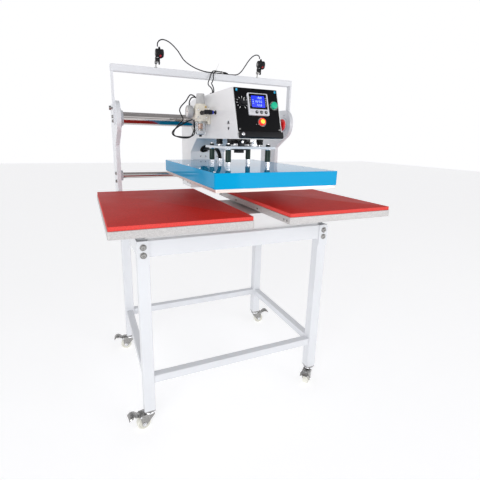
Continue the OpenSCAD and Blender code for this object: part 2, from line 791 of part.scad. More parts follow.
las_b = [[226, 174, 1374.3], [225, 174, 1382], [217, 174, 1388], [203, 174, 1386], [187, 174, 1375],
    [172, 174, 1358], [158, 174, 1338], [142, 174, 1317], [124, 175, 1304], [98, 176, 1301],
    [60, 176, 1301], [16, 177, 1301], [-14, 178, 1301]];
trunk_a = [[72, 172, 1306], [40, 170, 1307], [16, 163, 1307], [2, 155, 1297], [-8, 147, 1276],
    [-20, 130, 1258], [-30, 104, 1246], [-37, 74, 1236], [-43, 38, 1226], [-48, 8, 1214],
    [-50, -2, 1204], [-50.5, -4, 1190]];
trunk_b = [[76, 163, 1302], [44, 164, 1306], [20, 158, 1304], [8, 149, 1290], [4, 140, 1272],
    [-6, 124, 1258], [-18, 98, 1250], [-28, 66, 1240], [-36, 30, 1226], [-42, 6, 1212],
    [-45, -1, 1203], [-45.5, -3.5, 1190]];
pipe = [[-3, 262, 996], [-3, 245, 997], [-3, 225, 997.5], [-3, 190, 999], [-3, 150, 1001],
    [-2, 112, 1002], [-2, 84, 1000], [-2, 63, 993], [-2, 47, 981], [-2, 40, 967], [-2, 40, 953]];

module air_tubes() color(black) {
    sweep(route(tube_a, 5), 2.2, 8, [0, 0, 1]);
    sweep(route(tube_b, 6), 2.2, 8, [0, 0, 1]);
    sweep(route(tube_c, 5), 2.2, 8, [0, 0, 1]);
}
module cable_left() color(black) sweep(route(las_a, 5), 2.1, 8, [0, 1, 0]);
module cable_right() color(black) sweep(route(las_b, 5), 2.1, 8, [0, 1, 0]);
module cable_trunk() color(black) {
    sweep(route(trunk_a, 5), 2.1, 8, [0, 0, 1]);
    sweep(route(trunk_b, 5), 2.1, 8, [0, 0, 1]);
}
module conduit() color(black) sweep(route(pipe, 4), 7.5, 12, [1, 0, 0]);

// ---------- draw ----------
legs();
top_rails();
low_rails();
corner_plates();
frame_bolts();
bed_tray();
table_base_left();
table_base_right();
pad_left();
pad_right();
upright_left();
upright_right();
guide_tube();
guide_rod();
guide_flanges();
laser_frame();
laser_left();
laser_right();
caster_plates();
caster_fork_fl();
caster_fork_fr();
caster_fork_rl();
caster_fork_rr();
caster_wheel_fl();
caster_wheel_fr();
caster_wheel_rl();
caster_wheel_rr();
caster_pedal_fl();
caster_pedal_fr();
caster_pedal_rl();
caster_pedal_rr();
arm_shell();
control_panel();
controller_bezel();
lcd();
key_left();
key_mid();
key_right();
button_green();
button_red();
timer_knob();
estop();
carriage_trim();
handle_bar();
regulator_body();
regulator_knob();
gauge();
bowl();
black_fittings();
cylinder_set();  // cylinder
pressure_plate();
posts();
press_rods();
platen_cover();
heating_plate();
air_tubes();
conduit();
cable_left();
cable_right();
cable_trunk();
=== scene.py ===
import math

import bmesh
import bpy
from mathutils import Matrix, Vector


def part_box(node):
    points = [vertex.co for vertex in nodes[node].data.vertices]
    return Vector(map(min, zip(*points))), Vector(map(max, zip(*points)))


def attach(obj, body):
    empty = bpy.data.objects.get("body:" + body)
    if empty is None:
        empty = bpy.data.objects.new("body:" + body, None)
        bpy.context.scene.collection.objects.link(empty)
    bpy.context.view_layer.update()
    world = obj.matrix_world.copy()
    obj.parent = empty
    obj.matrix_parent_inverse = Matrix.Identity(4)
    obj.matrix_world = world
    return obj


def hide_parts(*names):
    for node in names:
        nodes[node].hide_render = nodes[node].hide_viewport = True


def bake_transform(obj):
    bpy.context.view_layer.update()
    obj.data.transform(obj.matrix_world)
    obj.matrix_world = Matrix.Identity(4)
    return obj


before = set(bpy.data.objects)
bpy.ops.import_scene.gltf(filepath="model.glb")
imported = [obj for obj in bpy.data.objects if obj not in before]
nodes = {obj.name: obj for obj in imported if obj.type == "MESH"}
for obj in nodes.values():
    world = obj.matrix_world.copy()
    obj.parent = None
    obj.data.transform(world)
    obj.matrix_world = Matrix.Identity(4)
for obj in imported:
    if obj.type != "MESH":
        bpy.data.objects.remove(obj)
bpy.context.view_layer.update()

MM = 0.001
UP = Vector((0, 0, 1))
LEAN = math.atan(55 / 157)

arm_lo, arm_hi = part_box("arm_shell")
HEAD_X = (arm_lo.x + arm_hi.x) / 2


def show(obj):
    bpy.context.scene.collection.objects.link(obj)


# ---- camera
def add_camera():
    """Stands where the photographer stood: left of the machine, a little above the tables."""
    yaw, pitch, roll = -0.405, -0.251, 0.021
    data = bpy.data.cameras.new("camera")
    data.sensor_width = 36
    data.lens = 25.76
    data.shift_x = 0.0177
    data.shift_y = -0.0259
    ahead = Vector((-math.sin(yaw) * math.cos(pitch), math.cos(yaw) * math.cos(pitch), math.sin(pitch)))
    right = ahead.cross(UP).normalized()
    above = right.cross(ahead)
    side = math.cos(roll) * right + math.sin(roll) * above
    top = -math.sin(roll) * right + math.cos(roll) * above
    turn = Matrix((side, top, -ahead)).transposed().to_4x4()
    cam = bpy.data.objects.new("camera", data)
    cam.matrix_world = Matrix.Translation((-0.5026, -1.2599, 1.0381)) @ turn
    show(cam)
    bpy.context.scene.camera = cam


add_camera()


# ---- materials
class Look:
    """One procedural material, built step by step on its Principled shader."""

    def __init__(self, name, colour, rough, metal=0.0, coat=0.0, coat_rough=0.05):
        self.mat = bpy.data.materials.new(name)
        self.mat.use_nodes = True
        self.tree = self.mat.node_tree
        self.shader = self.tree.nodes["Principled BSDF"]
        self.colour = colour
        self.rough = rough
        self.set("Base Color", (*colour, 1))
        self.set("Roughness", rough)
        self.set("Metallic", metal)
        self.set("Coat Weight", coat)
        self.set("Coat Roughness", coat_rough)
        self.coords = self.add("ShaderNodeTexCoord").outputs["Object"]

    def add(self, kind, **values):
        made = self.tree.nodes.new(kind)
        for key, value in values.items():
            setattr(made, key, value)
        return made

    def set(self, socket, value):
        self.shader.inputs[socket].default_value = value

    def link(self, a, b):
        self.tree.links.new(a, b)

    def noise(self, scale, detail=3.0, stretch=(1, 1, 1)):
        mapping = self.add("ShaderNodeMapping")
        mapping.inputs["Scale"].default_value = stretch
        self.link(self.coords, mapping.inputs["Vector"])
        made = self.add("ShaderNodeTexNoise")
        made.inputs["Scale"].default_value = scale
        made.inputs["Detail"].default_value = detail
        self.link(mapping.outputs[0], made.inputs["Vector"])
        return made.outputs["Fac"]

    def spread(self, value, low, high, dark=0.35, light=0.65):
        made = self.add("ShaderNodeMapRange")
        for socket, number in zip(("From Min", "From Max", "To Min", "To Max"), (dark, light, low, high)):
            made.inputs[socket].default_value = number
        self.link(value, made.inputs["Value"])
        return made.outputs[0]

    def mottle(self, value, darker, lighter):
        """Colour runs from darker to lighter times the base colour as value rises."""
        ramp = self.add("ShaderNodeValToRGB")
        ramp.color_ramp.elements[0].position = 0.32
        ramp.color_ramp.elements[1].position = 0.68
        for stop, share in zip(ramp.color_ramp.elements, (darker, lighter)):
            stop.color = (*[min(1.0, c * share) for c in self.colour], 1)
        self.link(value, ramp.inputs["Fac"])
        self.link(ramp.outputs["Color"], self.shader.inputs["Base Color"])
        return self

    def roughen(self, value, low, high):
        self.link(self.spread(value, low, high), self.shader.inputs["Roughness"])
        return self

    def bump(self, value, strength, depth):
        made = self.add("ShaderNodeBump")
        made.inputs["Strength"].default_value = strength
        made.inputs["Distance"].default_value = depth
        self.link(value, made.inputs["Height"])
        self.link(made.outputs["Normal"], self.shader.inputs["Normal"])
        return self

    def glow(self, colour, strength):
        self.set("Emission Color", (*colour, 1))
        self.set("Emission Strength", strength)
        return self


def paint(name, colour, rough=0.36, coat=0.25, peel=0.12):
    """Powder coat or enamel: fine orange peel and a faint drift in shade and gloss."""
    look = Look(name, colour, rough, coat=coat, coat_rough=0.18)
    look.mottle(look.noise(5.0, 4.0), 0.965, 1.02)
    look.roughen(look.noise(24.0, 3.0), rough - 0.06, rough + 0.08)
    look.bump(look.noise(620.0, 2.0), peel, 0.0004)
    return look.mat


def metal(name, colour, rough, stretch=(1, 1, 1), scale=160.0, grain=0.15, dark=0.86):
    """Bare metal with machining or brushing along the axis whose stretch is small."""
    look = Look(name, colour, rough, metal=1.0)
    lines = look.noise(scale, 5.0, stretch)
    look.mottle(lines, dark, 1.06)
    look.roughen(look.noise(scale * 0.6, 4.0, stretch), max(0.03, rough - 0.08), rough + 0.12)
    look.bump(lines, grain, 0.0003)
    return look.mat


def plastic(name, colour, rough, grain=0.1, scale=900.0, coat=0.0, shine=0.5):
    look = Look(name, colour, rough, coat=coat)
    look.set("Specular IOR Level", shine)
    look.mottle(look.noise(18.0, 3.0), 0.88, 1.1)
    look.roughen(look.noise(60.0, 3.0), max(0.04, rough - 0.05), rough + 0.1)
    look.bump(look.noise(scale, 2.0), grain, 0.0003)
    return look.mat


def clear(name, colour, rough, alpha_share):
    look = Look(name, colour, rough)
    look.set("Transmission Weight", alpha_share)
    look.set("IOR", 1.46)
    look.bump(look.noise(240.0, 2.0), 0.05, 0.0003)
    return look.mat


def silicone_skin():
    look = Look("silicone_skin", (0.64, 0.032, 0.024), 0.52)
    look.set("IOR", 1.16)
    look.mottle(look.noise(310.0, 5.0), 0.86, 1.14)
    look.roughen(look.noise(9.0, 4.0), 0.49, 0.55)
    look.bump(look.noise(520.0, 4.0), 0.35, 0.0005)
    return look.mat


def silicone_foam():
    look = Look("silicone_foam", (0.78, 0.055, 0.045), 0.75)
    look.mottle(look.noise(420.0, 4.0), 0.72, 1.15)
    look.bump(look.noise(700.0, 5.0), 0.8, 0.0009)
    return look.mat


def table_alloy():
    """Sawn aluminium edge: long soft streaks with a darker fleck here and there."""
    look = Look("table_alloy", (0.56, 0.545, 0.54), 0.42, metal=0.4)
    streaks = look.noise(240.0, 7.0, (1.0, 1.0, 2.2))
    look.mottle(streaks, 0.82, 1.12)
    look.roughen(look.noise(60.0, 4.0, (1, 1, 6)), 0.34, 0.55)
    look.bump(look.noise(220.0, 5.0, (0.4, 0.4, 6.0)), 0.3, 0.0005)
    return look.mat


def gloss_enamel():
    """The cover's smooth blue enamel, which mirrors the head at a low angle."""
    look = Look("blue_enamel", (0.0, 0.33, 0.63), 0.05)
    look.set("IOR", 1.17)
    look.mottle(look.noise(4.0, 3.0), 0.95, 1.03)
    look.bump(look.noise(26.0, 2.0), 0.05, 0.0006)
    return look.mat


WHITE = paint("white_coat", (0.71, 0.725, 0.755), rough=0.34)
WHITE_WARM = paint("white_sheet", (0.81, 0.81, 0.815), rough=0.40)
BLUE = gloss_enamel()
SKIN = silicone_skin()
FOAM = silicone_foam()
ALLOY = table_alloy()
PLATE = metal("plate_alloy", (0.80, 0.70, 0.66), 0.38, (0.3, 0.3, 6.0), 120.0)
CHROME = metal("hard_chrome", (0.60, 0.565, 0.55), 0.05, (0.2, 1.0, 1.0), 60.0, grain=0.02, dark=0.94)
STEEL = metal("bright_steel", (0.80, 0.80, 0.82), 0.20, scale=200.0, grain=0.08)
GUNMETAL = metal("dark_plate", (0.40, 0.395, 0.385), 0.22, scale=220.0, grain=0.12, dark=0.72)
# Blackened steel for screws, and also the painted shade of the dark half-disc inside the side louvre.
DARK_STEEL_AND_SHADE = metal("blackened_steel_and_painted_shade", (0.16, 0.16, 0.17), 0.42, scale=200.0)
ANODISED = plastic("black_anodised", (0.010, 0.011, 0.012), 0.30, grain=0.06, shine=0.3)
GREEN_SLEEVE = plastic("green_sleeve", (0.008, 0.030, 0.019), 0.34, grain=0.25, scale=500.0, shine=0.3)
GLOSS_BLACK = plastic("panel_black", (0.003, 0.003, 0.004), 0.16, grain=0.03, shine=0.16)
BLACK = plastic("moulded_black", (0.010, 0.010, 0.012), 0.40, grain=0.2, shine=0.25)
RUBBER = plastic("cable_jacket", (0.008, 0.008, 0.009), 0.5, grain=0.25, scale=1200.0, shine=0.25)
SILVER = plastic("silver_moulding", (0.66, 0.66, 0.70), 0.30, grain=0.06)
CREAM = paint("cream_casting", (0.74, 0.70, 0.61), rough=0.42, peel=0.25)
GREY = plastic("grey_moulding", (0.47, 0.47, 0.47), 0.36, grain=0.12)
NYLON = plastic("cream_nylon", (0.76, 0.75, 0.68), 0.34, grain=0.15, scale=300.0)
STOP_RED = plastic("stop_red", (0.58, 0.012, 0.012), 0.25, grain=0.05, coat=0.4)
MARK = plastic("white_mark", (0.80, 0.80, 0.80), 0.5, grain=0.05)
TIE = plastic("white_nylon", (0.78, 0.78, 0.76), 0.38, grain=0.1)
CYAN = plastic("cyan_cap", (0.02, 0.42, 0.70), 0.25, grain=0.05, coat=0.4)
AIR_BLUE = plastic("blue_collet", (0.02, 0.05, 0.55), 0.3, grain=0.05)
BRASS = metal("brass", (0.62, 0.46, 0.20), 0.28, scale=300.0)
COPPER = metal("sintered_bronze", (0.72, 0.36, 0.20), 0.45, scale=500.0, grain=0.5)
CLEAR = clear("clear_bowl", (0.93, 0.95, 0.97), 0.06, 0.93)
DIAL = plastic("dial_face", (0.80, 0.80, 0.78), 0.5, grain=0.05)


def lit(name, colour, glow_colour, strength):
    look = Look(name, colour, 0.22, coat=0.5)
    look.mottle(look.noise(120.0, 2.0), 0.9, 1.1)
    look.glow(glow_colour, strength)
    return look.mat


GREEN_LENS = lit("green_lens", (0.0, 0.36, 0.20), (0.0, 0.40, 0.24), 0.35)
RED_LENS = lit("red_lens", (0.75, 0.03, 0.02), (1.0, 0.03, 0.01), 0.75)
AMBER_LENS = lit("amber_lens", (0.9, 0.45, 0.03), (1.0, 0.55, 0.05), 1.1)
LCD_BLUE = lit("lcd_blue", (0.005, 0.01, 0.30), (0.01, 0.035, 1.0), 0.95)
LCD_INK = lit("lcd_digits", (0.45, 0.6, 0.95), (0.45, 0.65, 1.0), 0.9)
LASER_RED = lit("laser_lens", (0.30, 0.01, 0.02), (1.0, 0.02, 0.04), 0.04)


# ---- shapes
def aim(origin, direction, hint=UP):
    """A matrix that puts local Z along direction, and local Y as near hint as it can be."""
    z = Vector(direction).normalized()
    x = Vector(hint).cross(z)
    if x.length < 1e-4:
        x = Vector((1, 0, 0))
    x.normalize()
    return Matrix.Translation(origin) @ Matrix((x, z.cross(x), z)).transposed().to_4x4()


def shift(x=0.0, y=0.0, z=0.0):
    """A move in millimetres."""
    return Matrix.Translation((x * MM, y * MM, z * MM))


def spin(degrees, axis="Z"):
    return Matrix.Rotation(math.radians(degrees), 4, axis)


FRONT = Matrix.Translation((HEAD_X, arm_lo.y, 1.040)) @ Matrix((
    Vector((1, 0, 0)),
    Vector((0, math.sin(LEAN), math.cos(LEAN))),
    Vector((0, -math.cos(LEAN), math.sin(LEAN))),
)).transposed().to_4x4()


def on_front(x, y, z=0.0, turn=0.0):
    """A place on the sloped front of the head, in millimetres: x across, y up the slope, z outwards."""
    return FRONT @ shift(x, y, z) @ Matrix.Rotation(turn, 4, "Z")


def lathe(profile, sides=48, ribs=0, rib_depth=0.0):
    """Turns (radius, height) pairs in millimetres round Z. Ribs flute the pairs that are marked True."""
    bm = bmesh.new()
    rings = []
    for pair in profile:
        radius, height = pair[0], pair[1]
        fluted = len(pair) > 2 and pair[2]
        if radius < 1e-6:
            rings.append([bm.verts.new((0, 0, height * MM))])
            continue
        ring = []
        for k in range(sides):
            a = 2 * math.pi * k / sides
            r = radius
            if fluted and ribs:
                r -= rib_depth * (0.5 - 0.5 * math.cos(a * ribs)) ** 2
            ring.append(bm.verts.new((r * MM * math.cos(a), r * MM * math.sin(a), height * MM)))
        rings.append(ring)
    for low, high in zip(rings, rings[1:]):
        for k in range(sides):
            j = (k + 1) % sides
            if len(low) == 1 and len(high) == 1:
                continue
            if len(low) == 1:
                bm.faces.new((low[0], high[j], high[k]))
            elif len(high) == 1:
                bm.faces.new((low[k], low[j], high[0]))
            else:
                bm.faces.new((low[k], low[j], high[j], high[k]))
    for ring in (rings[0], rings[-1]):
        if len(ring) > 1:
            bm.faces.new(ring)
    bmesh.ops.recalc_face_normals(bm, faces=bm.faces)
    return bm


def slab(outline, low, high, bevel=0.0, steps=2):
    """Extrudes an outline in millimetres from low to high, with rounded edges."""
    bm = bmesh.new()
    base = bm.faces.new([bm.verts.new((x * MM, y * MM, low * MM)) for x, y in outline])
    grown = bmesh.ops.extrude_face_region(bm, geom=[base])
    for v in grown["geom"]:
        if isinstance(v, bmesh.types.BMVert):
            v.co.z = high * MM
    bmesh.ops.recalc_face_normals(bm, faces=bm.faces)
    if bevel:
        flat = [e for e in bm.edges if e.calc_face_angle(0) > 0.6]
        bmesh.ops.bevel(bm, geom=flat, offset=bevel * MM, segments=steps, profile=0.5, affect="EDGES",
                        clamp_overlap=True)
    return bm


def on_circle(radius, degrees):
    return (radius * math.cos(math.radians(degrees)), radius * math.sin(math.radians(degrees)))


def arc(cx, cy, radius, start, end, steps=8):
    """Points on a circle round (cx, cy), from the angle start to the angle end in degrees."""
    turned = [on_circle(radius, start + (end - start) * k / steps) for k in range(steps + 1)]
    return [(cx + x, cy + y) for x, y in turned]


def rounded(width, depth, corner, steps=6):
    """Outline of a rectangle with round corners."""
    points = []
    for cx, cy, start in ((1, 1, 0), (-1, 1, 90), (-1, -1, 180), (1, -1, 270)):
        x, y = cx * (width / 2 - corner), cy * (depth / 2 - corner)
        points += arc(x, y, corner, start, start + 90, steps)
    return points


def block(width, depth, height, bevel=0.6, corner=1.0):
    return slab(rounded(width, depth, corner, 3), -height / 2, height / 2, bevel)


def hexagon(radius):
    return [on_circle(radius, 60 * k) for k in range(6)]


def ring(outer, inner, height, edge=0.5):
    """A washer or sleeve standing on its local origin."""
    return lathe([(inner, 0), (outer - edge, 0), (outer, edge), (outer, height - edge),
                  (outer - edge, height), (inner, height), (inner, 0)], 40)


def smooth_line(points, steps):
    """Points in metres along a smooth line through the given ones."""
    p = [Vector(q) for q in points]
    p = [2 * p[0] - p[1]] + p + [2 * p[-1] - p[-2]]
    line = []
    for i in range(1, len(p) - 2):
        a, b, c, d = p[i - 1:i + 3]
        for k in range(steps):
            t = k / steps
            line.append(0.5 * (2 * b + (c - a) * t + (2 * a - 5 * b + 4 * c - d) * t * t
                               + (3 * b - a - 3 * c + d) * t ** 3))
    line.append(p[-2])
    return line


def tube(line, radius, sides=14, ribs=0.0, pitch=0.004):
    """A round tube along a line in metres, plain or with rings every pitch."""
    bm = bmesh.new()
    normal = Vector((0.31, 0.87, 0.39))
    rings, run = [], 0.0
    for i, point in enumerate(line):
        along = (line[min(i + 1, len(line) - 1)] - line[max(i - 1, 0)]).normalized()
        normal = (normal - normal.dot(along) * along).normalized()
        across = along.cross(normal)
        if i:
            run += (point - line[i - 1]).length
        r = radius - ribs * (0.5 + 0.5 * math.cos(2 * math.pi * run / pitch))
        rings.append([bm.verts.new(point + r * (math.cos(2 * math.pi * k / sides) * normal
                                                + math.sin(2 * math.pi * k / sides) * across))
                      for k in range(sides)])
    for low, high in zip(rings, rings[1:]):
        for k in range(sides):
            j = (k + 1) % sides
            bm.faces.new((low[k], low[j], high[j], high[k]))
    bm.faces.new(rings[0])
    bm.faces.new(rings[-1])
    bmesh.ops.recalc_face_normals(bm, faces=bm.faces)
    return bm


class Piece:
    """Gathers shapes, each with its own material, into one mesh that rides on one body."""

    def __init__(self, name):
        self.name = name
        self.bm = bmesh.new()
        self.materials = []

    def put(self, shape, material, place=None):
        mesh = bpy.data.meshes.new("part")
        shape.to_mesh(mesh)
        shape.free()
        if place is not None:
            mesh.transform(place)
        if material not in self.materials:
            self.materials.append(material)
        before = len(self.bm.faces)
        self.bm.from_mesh(mesh)
        self.bm.faces.ensure_lookup_table()
        for face in self.bm.faces[before:]:
            face.material_index = self.materials.index(material)
        bpy.data.meshes.remove(mesh)
        return self

    def done(self, body=None, stands_for=(), slot=None, sharp=38.0):
        mesh = bpy.data.meshes.new(self.name)
        self.bm.to_mesh(mesh)
        self.bm.free()
        for material in self.materials:
            mesh.materials.append(material)
        mesh.shade_smooth()
        mesh.set_sharp_from_angle(angle=math.radians(sharp))
        made = bpy.data.objects.new(self.name, mesh)
        show(made)
        if body:
            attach(made, body)
        if stands_for:
            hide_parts(*stands_for)
        return made


# ---- cables, tubes and conduit: the same routes as the CAD part's, in millimetres
TUBE_A = [(-61.4, 108, 1180), (-76, 104, 1189), (-92, 90, 1197), (-111, 80, 1198), (-127, 79, 1176),
          (-147, 78, 1155), (-153, 76, 1140), (-148, 74, 1125), (-142, 72, 1108), (-160, 70, 1088),
          (-176, 66, 1069), (-181, 60, 1052), (-165, 54, 1043), (-138, 46, 1040), (-119, 41, 1047),
          (-108, 39, 1072), (-101, 39, 1098), (-99, 38, 1113), (-99, 33, 1121), (-99, 26.8, 1122)]
TUBE_B = [(-61.4, 92, 1176), (-78, 84, 1186), (-98, 66, 1190), (-115, 50, 1184), (-125, 42, 1168),
          (-123, 39, 1152), (-114, 36, 1143), (-112, 31, 1140.5), (-112, 26.8, 1140)]
TUBE_C = [(-109, 26.8, 1112), (-109.5, 34, 1111.5), (-119, 43, 1106), (-137, 47, 1098), (-162, 50, 1083),
          (-183, 50, 1068), (-190, 47, 1056), (-182, 42, 1047), (-158, 37, 1044), (-128, 29, 1045),
          (-113, 23, 1054), (-112, 22, 1070), (-114, 21.5, 1090), (-114, 21.5, 1105.6)]
LASER_A = [(-210, 174, 1374.3), (-209, 174, 1386), (-202, 174, 1396), (-189, 174, 1401),
           (-172, 174, 1398), (-155, 174, 1389), (-133, 174, 1370), (-119, 174, 1352),
           (-106, 173, 1336), (-84, 173, 1322), (-52, 172, 1309), (-16, 171, 1302),
           (30, 170, 1301), (76, 168, 1301)]
LASER_B = [(226, 174, 1374.3), (225, 174, 1382), (217, 174, 1388), (203, 174, 1386), (187, 174, 1375),
           (172, 174, 1358), (158, 174, 1338), (142, 174, 1317), (124, 175, 1304), (98, 176, 1301),
           (60, 176, 1301), (16, 177, 1301), (-14, 178, 1301)]
TRUNK_A = [(72, 172, 1306), (40, 170, 1307), (16, 163, 1307), (2, 155, 1297), (-8, 147, 1276),
           (-20, 130, 1258), (-30, 104, 1246), (-37, 74, 1236), (-43, 38, 1226), (-48, 8, 1214),
           (-50, -2, 1204), (-50.5, -4, 1190)]
TRUNK_B = [(76, 163, 1302), (44, 164, 1306), (20, 158, 1304), (8, 149, 1290), (4, 140, 1272),
           (-6, 124, 1258), (-18, 98, 1250), (-28, 66, 1240), (-36, 30, 1226), (-42, 6, 1212),
           (-45, -1, 1203), (-45.5, -3.5, 1190)]
PIPE = [(-3, 262, 996), (-3, 245, 997), (-3, 225, 997.5), (-3, 190, 999), (-3, 150, 1001),
        (-2, 112, 1002), (-2, 84, 1000), (-2, 63, 993), (-2, 47, 981), (-2, 40, 967), (-2, 40, 953)]


def cord_piece(name, points, radius, body=None, stands_for=(), bend=None, ribs=0.0):
    """A cord on its CAD route. bend is (body a, body b, start, end) for one that runs between two bodies;
    only whether it is given is used: such a cord rides on no body and keeps its place baked into its
    mesh.
    """
    line = smooth_line([Vector(p) * MM for p in points], 14 if ribs else 9)
    made = Piece(name).put(tube(line, radius, 16 if ribs else 12, ribs), RUBBER).done(
        body, stands_for, "cable_black", sharp=60.0)
    if bend:
        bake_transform(made)
    return made


def add_cords():
    cord_piece("air_tube_long", TUBE_A, 0.0022, "carriage", ["air_tubes"])
    cord_piece("air_tube_short", TUBE_B, 0.0022, "carriage", ["air_tubes"])
    cord_piece("air_tube_loop", TUBE_C, 0.0022, "carriage", ["air_tubes"])
    cord_piece("laser_cable_left", LASER_A, 0.0021, None, ["cable_left"],
               bend=("laser_left", "stand", (-0.210, 0.174, 1.378), (-0.150, 0.174, 1.385)))
    cord_piece("laser_cable_right", LASER_B, 0.0021, None, ["cable_right"],
               bend=("laser_right", "stand", (0.226, 0.174, 1.378), (0.165, 0.174, 1.350)))
    for name, points in (("trunk_cable_a", TRUNK_A), ("trunk_cable_b", TRUNK_B)):
        cord_piece(name, points, 0.0021, None, ["cable_trunk"],
                   bend=("stand", "carriage", (0.020, 0.163, 1.307), (-0.050, -0.004, 1.205)))
    cord_piece("platen_conduit", PIPE, 0.0075, None, ["conduit"], ribs=0.0008,
               bend=("carriage", "press", (-0.003, 0.190, 0.999), (-0.002, 0.046, 0.975)))


add_cords()


# ---- CAD nodes that stay: finish and softened edges
def dress(node, material, bevel=0.7):
    """Gives a CAD node its material, and rounds its sharp edges by bevel millimetres."""
    obj = nodes[node]
    for place in obj.material_slots:
        place.material = material
    if obj.data.has_custom_normals:
        obj.data.attributes.remove(obj.data.attributes["custom_normal"])
    obj.data.shade_smooth()
    weld = obj.modifiers.new("weld", "WELD")
    weld.merge_threshold = 0.00002
    flat = obj.modifiers.new("flat", "DECIMATE")
    flat.decimate_type = "DISSOLVE"
    flat.angle_limit = math.radians(0.4)
    edge = obj.modifiers.new("edge", "BEVEL")
    edge.width = bevel * MM
    edge.segments = 2
    edge.limit_method = "ANGLE"
    edge.angle_limit = math.radians(32)
    obj.modifiers.new("faces", "WEIGHTED_NORMAL")


def dress_all():
    for node in ("legs", "top_rails", "low_rails", "laser_frame"):
        dress(node, WHITE, 0.8)
    for node in ("corner_plates", "pressure_plate"):
        dress(node, WHITE, 0.5)
    for node in ("upright_left", "upright_right"):
        dress(node, WHITE, 1.4)
    for node in ("arm_shell", "bed_tray"):
        dress(node, WHITE_WARM, 0.9)
    for node in ("table_base_left", "table_base_right"):
        dress(node, ALLOY, 1.0)
    for node in ("guide_tube", "guide_rod"):
        dress(node, CHROME, 0.4)
    dress("guide_flanges", WHITE, 0.8)
    dress("frame_bolts", GUNMETAL, 0.4)
    dress("carriage_trim", GUNMETAL, 0.4)
    dress("caster_plates", GUNMETAL, 0.5)
    dress("press_rods", STEEL, 0.4)
    dress("cylinder", ANODISED, 0.8)
    dress("platen_cover", BLUE, 1.6)
    dress("heating_plate", PLATE, 0.7)
    dress("control_panel", GLOSS_BLACK, 0.4)


dress_all()


# ---- tables
def add_pad(side):
    """Red silicone sponge: a smooth skin on top, and cut sides that show the brighter sponge."""
    lo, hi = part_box(f"pad_{side}")
    size = (hi - lo) / MM
    shape = slab(rounded(size.x, size.y, 3, 4), 0, size.z, 1.0, 3)
    pad = Piece(f"silicone_pad_{side}")
    pad.put(shape, FOAM, Matrix.Translation(((lo.x + hi.x) / 2, (lo.y + hi.y) / 2, lo.z)))
    pad.materials.append(SKIN)
    for face in pad.bm.faces:
        face.material_index = 1 if abs(face.normal.z) > 0.8 else 0
    pad.done("stand", [f"pad_{side}"], "red_silicone", 60)


for side in ("left", "right"):
    add_pad(side)


# ---- head: panel, controller, buttons
def carve(shape, cutters):
    """The shape with the cutters taken out of it."""
    def as_object(bm):
        mesh = bpy.data.meshes.new("carve")
        bm.to_mesh(mesh)
        bm.free()
        made = bpy.data.objects.new("carve", mesh)
        show(made)
        return made

    body = as_object(shape)
    tools = [as_object(c) for c in cutters]
    for tool in tools:
        cut = body.modifiers.new("cut", "BOOLEAN")
        cut.operation = "DIFFERENCE"
        cut.solver = "EXACT"
        cut.object = tool
    result = bmesh.new()
    result.from_object(body, bpy.context.evaluated_depsgraph_get())
    for used in [body] + tools:
        data = used.data
        bpy.data.objects.remove(used)
        bpy.data.meshes.remove(data)
    return result


def moved(shape, x=0.0, y=0.0, z=0.0):
    bmesh.ops.transform(shape, matrix=shift(x, y, z), verts=shape.verts)
    return shape


KEYS = {"key_left": -9, "key_mid": 7.5, "key_right": 24}
KNOB = (-52, 116)
GREEN_AT = (58, 110)
RED_AT = (8, 54)
SEGMENTS = {"a": (0, 1), "b": (0.5, 0.5), "c": (0.5, -0.5), "d": (0, -1), "e": (-0.5, -0.5),
            "f": (-0.5, 0.5), "g": (0, 0)}
DIGITS = {"0": "abcdef", "1": "bc", "2": "abged", "3": "abgcd", "5": "afgcd", "6": "afgedc",
          "8": "abcdefg"}


def digit(piece, symbol, x, y, height):
    """A seven-segment figure on the display, height millimetres tall."""
    half = height / 2
    thick = height * 0.13
    for name in DIGITS[symbol]:
        sx, sy = SEGMENTS[name]
        level = name in "adg"
        wide, tall = (half * 0.78, thick) if level else (thick, half * 0.82)
        piece.put(slab(rounded(wide, tall, thick * 0.3, 2), 9.42, 9.56), LCD_INK,
                  on_front(x + sx * half, y + sy * half))


